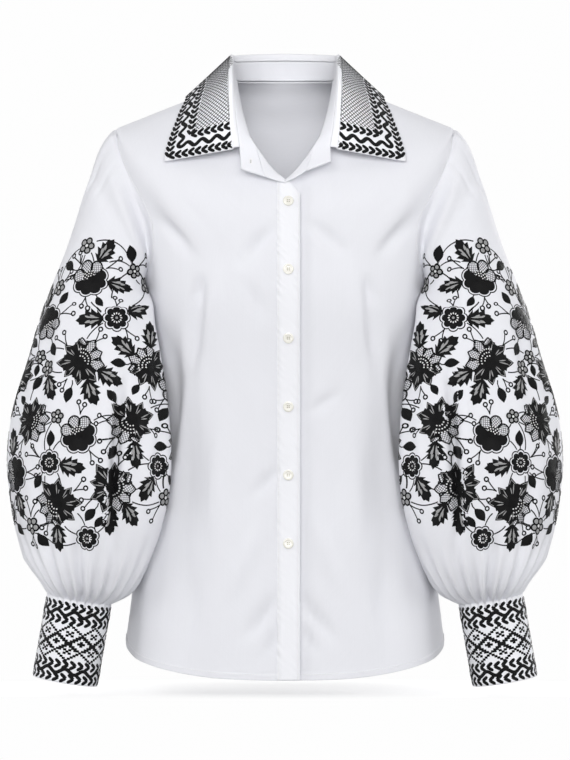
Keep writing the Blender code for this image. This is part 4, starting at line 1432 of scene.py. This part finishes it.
def embroider_sleeve(side, surface):
    """The flowers of one sleeve, with their leaves, sprigs and stems."""
    garden, work = Garden(surface), Needlework(surface)
    for motif in records(MOTIF_COLUMNS, MOTIFS):
        for half in (0, 180):
            cell = garden.cell(motif["angle"] + half, motif["z"])
            DRAWN[motif["kind"]](pen_at(work, cell, motif["turn"]), motif["radius"])
            pointed = motif["kind"] == "pointed"
            garden.plant(cell, motif["radius"] * (CORE if pointed else 1), 0.88 / CORE if pointed else 1.0)
    for number, growth in enumerate(records(GROWTH_COLUMNS, FIRST_GROWTHS)):
        grow(work, garden, growth, FIRST_TURN * number)
    fill_gaps(work, garden)
    for number, growth in enumerate(records(GROWTH_COLUMNS, LAST_GROWTHS)):
        grow(work, garden, growth, LAST_TURN * number)
    for number, (cell, radius, own) in enumerate(garden.flowers):
        others = [flower for flower in garden.flowers if flower[2] != own]
        far = np.linalg.norm(garden.centres[own] - garden.centres[[flower[2] for flower in others]], axis=1)
        for rank, near in enumerate(np.argsort(far)[:STEMS]):
            other, size, _ = others[int(near)]
            turn = (other[1] - cell[1] + SLEEVE_POINTS / 2) % SLEEVE_POINTS - SLEEVE_POINTS / 2
            end = np.array((other[0], cell[1] + turn))
            stem(work, cell, end, (0.93 * radius, 0.93 * size), 0.20 * (-1) ** (number + rank))
    work.finished(f"sleeve_{side}_embroidery")


# ------------------------------------------------------------------ borders

# Half of an arrowhead: its line's points and widths, as shares of its size.
CHEVRON_HALF = ((0.52, -0.50, 0.24), (0.39, -0.31, 0.43), (0.14, 0.06, 0.44), (-0.01, 0.28, 0.32))
CUFF_CHEVRON, CUFF_CHEVRON_PITCH = 0.0084, 0.0082
CUFF_WAVE = (0.0026, 0.0020)  # height of the wave's swing and width of each of its two lines
COLLAR_WAVE = (0.0029, 0.0024)
COLLAR_WAVE_LENGTH, COLLAR_WAVE_START = 0.0168, 0.6  # the length of one swing, and its turn at the fold


def march(work, cells, pitch, draw, start=0.5, layer=0):
    """Repeats a drawing along a line of cells at an even pitch, its y axis along the line."""
    run = lengths_along(work.surface.at(cells)[0], 0)
    count = max(1, int(round(run[-1] / pitch)))
    for number in range(count):
        length = (number + start) * run[-1] / count
        behind, cell, ahead = resampled(length + np.array((-1, 0, 1)) * pitch / 3, run, cells)
        frame = work.surface.frame(cell)
        x, y = (ahead - behind) @ np.linalg.inv(frame)
        draw(Pen(work, cell, frame, layer).turned(np.degrees(np.arctan2(-x, y))))


def chevron(pen, size=CUFF_CHEVRON):
    """An arrowhead of two thick leaves that points along y."""
    half = np.array(CHEVRON_HALF) * size
    for side in (1, -1):
        pen.draw(strip(half[:, :2] * (side, 1), half[:, 2]), IN_BLACK)


def double_line(pen, path, width, layer=0):
    """Two lines of satin stitch side by side."""
    ahead = unit(np.gradient(path, axis=0))
    aside = to_the_left(ahead) * 0.45 * width
    for side in (1, -1):
        pen.draw(strip(path + side * aside, width), IN_BLACK, layer)


def square(width, height):
    """One crossed stitch."""
    across = np.array((-0.5, 0, 0.5))
    points = np.stack(np.meshgrid(across * width, across * height, indexing="ij"), axis=-1)
    return points, np.outer((0.25, 1, 0.25), (0.25, 1, 0.25)), points


CUFF_ROWS, CUFF_COLUMNS = 45, 120
CUFF_BORDERS = (0.0152, 0.0766)  # middles of the two borders, down from the cuff's top
CUFF_ROW_OFFSET = 0.0072
CUFF_WAVES = 11
LATTICE_ROUND = 8
LATTICE_CELLS = 10
LATTICE_TOP, LATTICE_FOOT = 0.0272, 0.0646
CROSS_WIDE, CROSS_TALL = 1.22, 1.34  # a stitch's size in cells
# Small crosses in the lattice's diamonds: the place of the middle in cells, and the cells they fill.
UPRIGHT = ((0, 0), (1, 0), (-1, 0), (0, 1), (0, -1))
SLANTED = ((0, 0), (1, 1), (-1, 1), (1, -1), (-1, -1))
CROSSES = ((0, -5, SLANTED), (5, 0, UPRIGHT), (0, 5, SLANTED))


def embroider_cuff(side, surface):
    """Two borders of arrowheads and a wave, with a lattice of crossed stitches between them."""
    work = Needlework(surface)
    length = np.linalg.norm(np.array(CUFF_BOTTOM) - CUFF_TOP)
    loop = np.concatenate([surface.grid[CUFF_ROWS // 2], surface.grid[CUFF_ROWS // 2, :1]])
    girth = np.linalg.norm(np.diff(loop, axis=0), axis=1).sum()
    to_row = (CUFF_ROWS - 1) / length
    chart = Pen(work, (0, 0), np.array(((0, CUFF_COLUMNS / girth), (to_row, 0))))
    around = np.linspace(CUFF_COLUMNS, 0, 241)
    for middle in CUFF_BORDERS:
        for offset in (-CUFF_ROW_OFFSET, CUFF_ROW_OFFSET):
            line = np.stack([np.full(241, (middle + offset) * to_row), around], axis=1)
            march(work, line, CUFF_CHEVRON_PITCH, chevron)
        along = np.linspace(0, girth, 12 * CUFF_WAVES + 1)
        wave = middle + CUFF_WAVE[0] * np.sin(2 * np.pi * CUFF_WAVES * along / girth)
        double_line(chart, np.stack([along, wave], axis=1), CUFF_WAVE[1], 1)
    half = LATTICE_CELLS
    wide, tall = girth / (LATTICE_ROUND * half), (LATTICE_FOOT - LATTICE_TOP) / (2 * half)
    filled = set()
    for i in range(LATTICE_ROUND * half):
        for j in range(-half, half + 1):
            rising, falling = (i + j) % half, (i - j) % half
            doubled = abs(j) < half // 2 and (rising == 1 or falling == half - 1)
            if rising == 0 or falling == 0 or doubled:
                filled.add((i, j))
    for repeat in range(LATTICE_ROUND):
        for i, j, cross in CROSSES:
            filled.update(((i + repeat * half + x) % (LATTICE_ROUND * half), j + y) for x, y in cross)
    stitch = square(CROSS_WIDE * wide, CROSS_TALL * tall)
    for i, j in sorted(filled):
        chart.moved((i + 0.5) * wide, LATTICE_TOP + (j + half) * tall).draw(stitch, IN_BLACK)
    work.finished(f"cuff_{side}_embroidery")


CHART_STEP = 0.0015
CHART_DEPTH = 0.092
LEAF_COLUMNS = 35  # columns of the leaf from its edge to the crest of the fold
ROLL_MARGIN = 0.0030  # how far from the crest the rows start
NET_DROPS = (0.05, 0.09)  # along the leaf, where the net's edge drops by as much
TIP_SINE = 0.88  # of the angle at the leaf's tip
OUTER_ROW, WAVE_ROW, INNER_ROW, NET_START = 0.0048, 0.0147, 0.0250, 0.0290
COLLAR_NET = (0.0034, 0.00076, 45, 0.002)  # pitch, line, turn and step
NET_LAYER, CHEVRON_LAYER = 0.3, 0.6
ROW_START, INNER_ROW_START = 0.8, 0.6  # of a pitch, where the first arrowhead of a row lies
BACK_GAP = 0.002  # how far the rows stop from the back's centre
COLLAR_CHEVRON, COLLAR_CHEVRON_PITCH = 0.0088, 0.0075


def collar_chart(face, side):
    """Half of the leaf as a grid of even steps: rows from its front end, columns from its edge inwards."""
    middle = len(face) // 2
    half = face[: middle + 1] if side == "right" else face[: middle - 1 : -1]
    half = half[:, ::-1][:, : LEAF_COLUMNS + 3]
    depth = lengths_along(half, 1)
    fold = depth[:, LEAF_COLUMNS]
    even = np.arange(0, CHART_DEPTH, CHART_STEP)
    by_depth = np.array([resampled(even, *row) for row in zip(depth, half)])
    run = lengths_along(by_depth, 0)
    steps = np.arange(0, run[-1, 0], CHART_STEP)
    columns = zip(run.T, by_depth.swapaxes(0, 1))
    chart = np.array([resampled(steps, *column) for column in columns]).swapaxes(0, 1)
    return chart, np.interp(steps, run[:, 0], fold), run[-1]


def mitred(distance, fold, length):
    """A line at a distance inside the leaf's front and outer edges, from the fold to the back's centre."""
    corner = distance / TIP_SINE
    crest = np.interp(corner / CHART_STEP, np.arange(len(fold)), fold)
    down = np.arange(crest - ROLL_MARGIN, corner, -0.001)
    front = np.stack([np.full(len(down), corner), down], axis=1)
    back = np.arange(corner, length, 0.001)
    share = TIP_SINE + (1 - TIP_SINE) * smooth_step(0.01, 0.07, back)
    outer = np.stack([back, distance / share], axis=1)
    return front, outer


def rounded(path, reach):
    """The path with its corners eased by averaging over a few points."""
    padded = np.concatenate([path[:1].repeat(reach, 0), path, path[-1:].repeat(reach, 0)])
    window = np.ones(2 * reach + 1) / (2 * reach + 1)
    return np.stack([np.convolve(padded[:, k], window, "valid") for k in range(2)], axis=1)


def collar_chevron(pen):
    chevron(pen, COLLAR_CHEVRON)


def embroider_collar(face):
    """Arrowheads, a wave, arrowheads again and a netted field on each side of the collar."""
    for side in ("right", "left"):
        chart, fold, lengths = collar_chart(face, side)
        work = Needlework(Surface(chart, inside=INSIDE_LEAF))
        pen = Pen(work, (0, 0), np.eye(2) / CHART_STEP, NET_LAYER)
        for distance, outer_start in ((OUTER_ROW, ROW_START), (INNER_ROW, INNER_ROW_START)):
            front, outer = mitred(distance, fold, lengths[0] - BACK_GAP)
            for line, start in ((front, ROW_START), (outer[::-1], outer_start)):
                cells = line / CHART_STEP
                march(work, cells, COLLAR_CHEVRON_PITCH, collar_chevron, start, CHEVRON_LAYER)
        base = rounded(np.concatenate(mitred(WAVE_ROW, fold, lengths[0])), 5)
        turn = 2 * np.pi * lengths_along(base, 0) / COLLAR_WAVE_LENGTH + COLLAR_WAVE_START
        swing = COLLAR_WAVE[0] * np.sin(turn)[:, None]
        double_line(pen, base + to_the_left(unit(np.gradient(base, axis=0))) * swing, COLLAR_WAVE[1])

        def holds(points):
            a, b = points.T
            deep = np.interp(a, np.arange(len(fold)) * CHART_STEP, fold)
            deep -= ROLL_MARGIN * smooth_step(*NET_DROPS, a)
            long = np.interp(b, np.arange(len(lengths)) * CHART_STEP, lengths)
            return (a > NET_START / TIP_SINE) & (b > NET_START * 1.05) & (b < deep) & (a < long)

        middle = np.array((lengths[0] / 2, CHART_DEPTH / 2))
        net(pen, holds, middle, lengths[0] / 2 + 0.03, *COLLAR_NET)
        work.finished(f"collar_{side}_embroidery")


# ------------------------------------------------------------------ topstitching and buttons

STITCH_PITCH = 0.0029
STITCH_LENGTH = 0.0020
STITCH_WIDTH = 0.00045


def inset(grid, distance, axis, last):
    """Cells of the line at a distance inside the first or last row (axis 0) or column (axis 1)."""
    grid = np.flip(grid, axis) if last else grid
    lengths = np.moveaxis(lengths_along(grid, axis), axis, 1)
    count = lengths.shape[1]
    place = np.array([np.interp(distance, row, np.arange(count)) for row in lengths])
    place = count - 1 - place if last else place
    other = np.arange(len(place))
    return np.stack([other, place] if axis == 1 else [place, other], axis=1)


def topstitched(name, surface, lines):
    """Rows of small raised stitches along lines of cells."""
    work = Needlework(surface)
    stitch = strip([(0, -STITCH_LENGTH / 2), (0, 0), (0, STITCH_LENGTH / 2)], STITCH_WIDTH)
    for line in lines:
        march(work, line, STITCH_PITCH, lambda pen: pen.draw(stitch, IN_WHITE))
    made = work.finished(name)


def topstitch_body(fronts, back, placket):
    """The stitching along the hem, armholes and placket."""
    for side, (grid, ring) in fronts.items():
        opened = (ring[:, -1] > TIP) & (ring[:, -1] < ARMPIT)
        lines = [inset(grid, HEM_BAND, 0, True), inset(grid, ARMHOLE_BAND, 1, True)[opened]]
        topstitched(f"front_{side}_stitching", Surface(grid), lines)
    grid, ring = back
    opened = (ring[:, 0] > TIP) & (ring[:, 0] < ARMPIT)
    lines = [inset(grid, HEM_BAND, 0, True)]
    lines += [inset(grid, ARMHOLE_BAND, 1, last)[opened] for last in (False, True)]
    topstitched("back_stitching", Surface(grid), lines)
    lines = [inset(placket, PLACKET_STITCHED, 1, last) for last in (False, True)]
    topstitched("placket_stitching", Surface(placket), lines)


BUTTONHOLE = (-0.0366, -0.0796)  # x and z of its middle
BUTTONHOLE_FRONT = -0.09  # the surface it lies on is in front of this y
BUTTONHOLE_LENGTH = 0.0075
# The slit is a grey strip of painted shade where the cut stands open.
BUTTONHOLE_SLIT_SHADE, BUTTONHOLE_EDGE, EDGE_ASIDE = 0.0009, 0.0013, 0.0009  # widths, and the edges' place


def work_buttonhole(surface):
    """The stand's own buttonhole, left open at its right end."""
    x, y, z = np.moveaxis(surface.grid, -1, 0)
    far = np.where(y < BUTTONHOLE_FRONT, np.hypot(x - BUTTONHOLE[0], z - BUTTONHOLE[1]), np.inf)
    cell = np.array(np.unravel_index(np.argmin(far), far.shape), float)
    work = Needlework(surface)
    frame = surface.frame(cell, 1.0)
    ahead = surface.at(cell + frame[1] * 0.002)[0] - surface.at(cell)[0]
    pen = Pen(work, cell, frame).turned(np.degrees(np.arctan2(ahead[0], ahead[2])))
    half = BUTTONHOLE_LENGTH / 2
    for side in (1, -1):
        edge = pen.moved(EDGE_ASIDE * side, 0)
        edge.draw(strip([(0, -half), (0, 0), (0, half)], BUTTONHOLE_EDGE), IN_WHITE)
    # the open slit: a grey strip painted as its shade
    pen.draw(strip([(0, -0.8 * half), (0, 0), (0, 0.5 * half)], BUTTONHOLE_SLIT_SHADE), IN_GREY)
    made = work.finished("collar_buttonhole")


BUTTON_HOLES = (45, 135, 225, 315)  # degrees round the button


def finish_buttons():
    """Ivory resin on the buttons, with the sewing thread that shows in their holes."""
    points, quads = [], []
    turn = np.radians(np.arange(0, 360, 45))
    for name in [name for name in frame["nodes"] if name.startswith("button")]:
        node = frame["nodes"][name]
        node.data.materials.clear()
        node.data.materials.append(IVORY)
        corners = np.array([node.matrix_world @ corner.co for corner in node.data.vertices])
        centre = (corners.min(axis=0) + corners.max(axis=0)) / 2
        axis = np.linalg.svd(corners - centre)[2][2]
        axis *= -np.sign(axis[1])
        right = np.array((1.0, 0, 0))
        up = np.cross(right, axis)
        depth = ((corners - centre) @ axis).min() + BUTTON_THREAD_HEIGHT
        for hole in np.radians(BUTTON_HOLES):
            middle = centre + axis * depth
            middle = middle + (np.cos(hole) * right + np.sin(hole) * up) * BUTTON_HOLE_SPREAD
            ring = np.cos(turn)[:, None] * right + np.sin(turn)[:, None] * up
            start = sum(len(group) for group in points)
            points.append(np.concatenate([[middle], middle + ring * BUTTON_HOLE_RADIUS * 1.02]))
            quads += [[start, start + k, start + k + 1, start + (k + 1) % 8 + 1] for k in (1, 3, 5, 7)]
    points = np.concatenate(points)
    made = mesh_object("button_threads", points, np.array(quads), points[:, ::2], [TAN])


# ------------------------------------------------------------------ camera, floor and light

EYE = (0.0, -3.0, -0.3124)
IMAGE_HEIGHT = 760
FOCAL_PIXELS = 2727
SENSOR = 24.0
FLOOR_Z = -0.6570


def make_camera():
    lens = bpy.data.cameras.new("camera")
    lens.sensor_fit = "VERTICAL"
    lens.sensor_height = SENSOR
    lens.lens = SENSOR * FOCAL_PIXELS / IMAGE_HEIGHT
    camera = bpy.data.objects.new("camera", lens)
    camera.location = EYE
    camera.rotation_euler = (np.pi / 2, 0, 0)
    bpy.context.scene.collection.objects.link(camera)
    bpy.context.scene.camera = camera


# The part of the floor that takes shadows: half width, half depth and how far back its middle is.
FLOOR_PATCH = (0.38, 0.070, 0.045)
FLOOR_NEAR, FLOOR_FAR = 0.7, 1.4  # where it starts and ends its change to the plain glow
FLOOR_GLOW = 0.59
FLOOR_TONE = 0.80


def make_floor():
    """A seamless white floor: it takes soft shadows near the shirt, and looks as bright as the backdrop."""
    made = Nodes("studio_floor")
    place = made.add("ShaderNodeTexCoord").outputs["Object"]
    place = made.mapped(place, (1 / FLOOR_PATCH[0], 1 / FLOOR_PATCH[1], 1))
    far = made.add("ShaderNodeVectorMath", {0: place}, operation="LENGTH").outputs["Value"]
    reach = {"Value": far, "From Min": FLOOR_NEAR, "From Max": FLOOR_FAR}
    glow = made.add("ShaderNodeMapRange", {**reach, "To Min": FLOOR_GLOW, "To Max": BACKDROP})
    tone = made.add("ShaderNodeMapRange", {**reach, "To Min": FLOOR_TONE, "To Max": 0.0})
    seen = made.add("ShaderNodeLightPath").outputs["Is Camera Ray"]
    seen = made.add("ShaderNodeMapRange", {"Value": seen, "To Min": FILL, "To Max": 1.0})
    made.shade({
        "Base Color": tone.outputs["Result"],
        "Emission Strength": made.scaled(glow.outputs["Result"], seen.outputs["Result"]),
        "Emission Color": (1, 1, 1, 1),
        "Roughness": 0.9,
        "Specular IOR Level": 0.0,
    })
    bpy.ops.mesh.primitive_plane_add(size=60, location=(0, FLOOR_PATCH[2], FLOOR_Z))
    floor = bpy.context.object
    floor.name = "studio_floor"
    floor.data.materials.append(made.material)


LIGHT_COLUMNS = ("name", "x", "y", "z", "size", "watts")
LIGHTS = (
    ("key", -1.4, -3.5, 1.4, 1.6, 41),
    ("fill", 1.5, -3.6, 1.0, 1.6, 29),
    ("front", 0.0, -3.8, -0.1, 1.0, 35),
    ("left_side", 3.2, -0.9, -0.2, 1.4, 32),
    ("right_side", -3.2, -0.9, -0.2, 1.4, 30),
    ("top", 0.0, -0.4, 2.6, 2.4, 12),
    ("back_left", 2.3, 2.9, 0.30, 1.2, 58),
    ("back_right", -2.0, 3.1, -0.30, 1.2, 24),
)
LIGHT_AIM = (0, 0, -0.35)
NECK_SPOT = (70, np.radians(4.0), 0.5, 0.03)  # watts, cone, blend and size: it lights the open neck
NECK_LAMP, NECK_AIM = (0, -2.4, 0.4), (0, 0.060, -0.043)
FILL = 0.34
BACKDROP = 0.99


def place_lamp(name, light, place, aim):
    lamp = bpy.data.objects.new(name, light)
    lamp.location = place
    lamp.rotation_euler = (Vector(aim) - lamp.location).to_track_quat("-Z", "Y").to_euler()
    bpy.context.scene.collection.objects.link(lamp)
    return lamp


def make_light():
    for light in records(LIGHT_COLUMNS, LIGHTS):
        area = bpy.data.lights.new(light["name"], "AREA")
        area.size = light["size"]
        area.energy = light["watts"]
        lamp = place_lamp(light["name"], area, (light["x"], light["y"], light["z"]), LIGHT_AIM)
        lamp.visible_camera = False
    spot = bpy.data.lights.new("neck_spot", "SPOT")
    spot.energy, spot.spot_size, spot.spot_blend, spot.shadow_soft_size = NECK_SPOT
    place_lamp("neck_spot", spot, NECK_LAMP, NECK_AIM)
    world = bpy.data.worlds.new("studio")
    bpy.context.scene.world = world
    world.use_nodes = True
    tree = world.node_tree
    path = tree.nodes.new("ShaderNodeLightPath")
    strength = tree.nodes.new("ShaderNodeMapRange")
    strength.inputs["To Min"].default_value = FILL
    strength.inputs["To Max"].default_value = BACKDROP
    tree.links.new(path.outputs["Is Camera Ray"], strength.inputs["Value"])
    sky = tree.nodes["Background"]
    sky.inputs["Color"].default_value = (1, 1, 1, 1)
    tree.links.new(strength.outputs["Result"], sky.inputs["Strength"])
    bpy.context.scene.view_settings.view_transform = "Standard"


# ------------------------------------------------------------------ the whole

for leftover in list(bpy.data.objects):
    if leftover.name in ("Cube", "Light", "Camera"):
        bpy.data.objects.remove(leftover)
make_camera()
make_floor()
make_light()
topstitch_body(make_fronts(), make_back(), make_placket())
work_buttonhole(make_stand())
embroider_collar(make_fall())
for side in ("left", "right"):
    sleeve_face, cuff_face = make_sleeve(side)
    embroider_sleeve(side, sleeve_face)
    embroider_cuff(side, cuff_face)
finish_buttons()
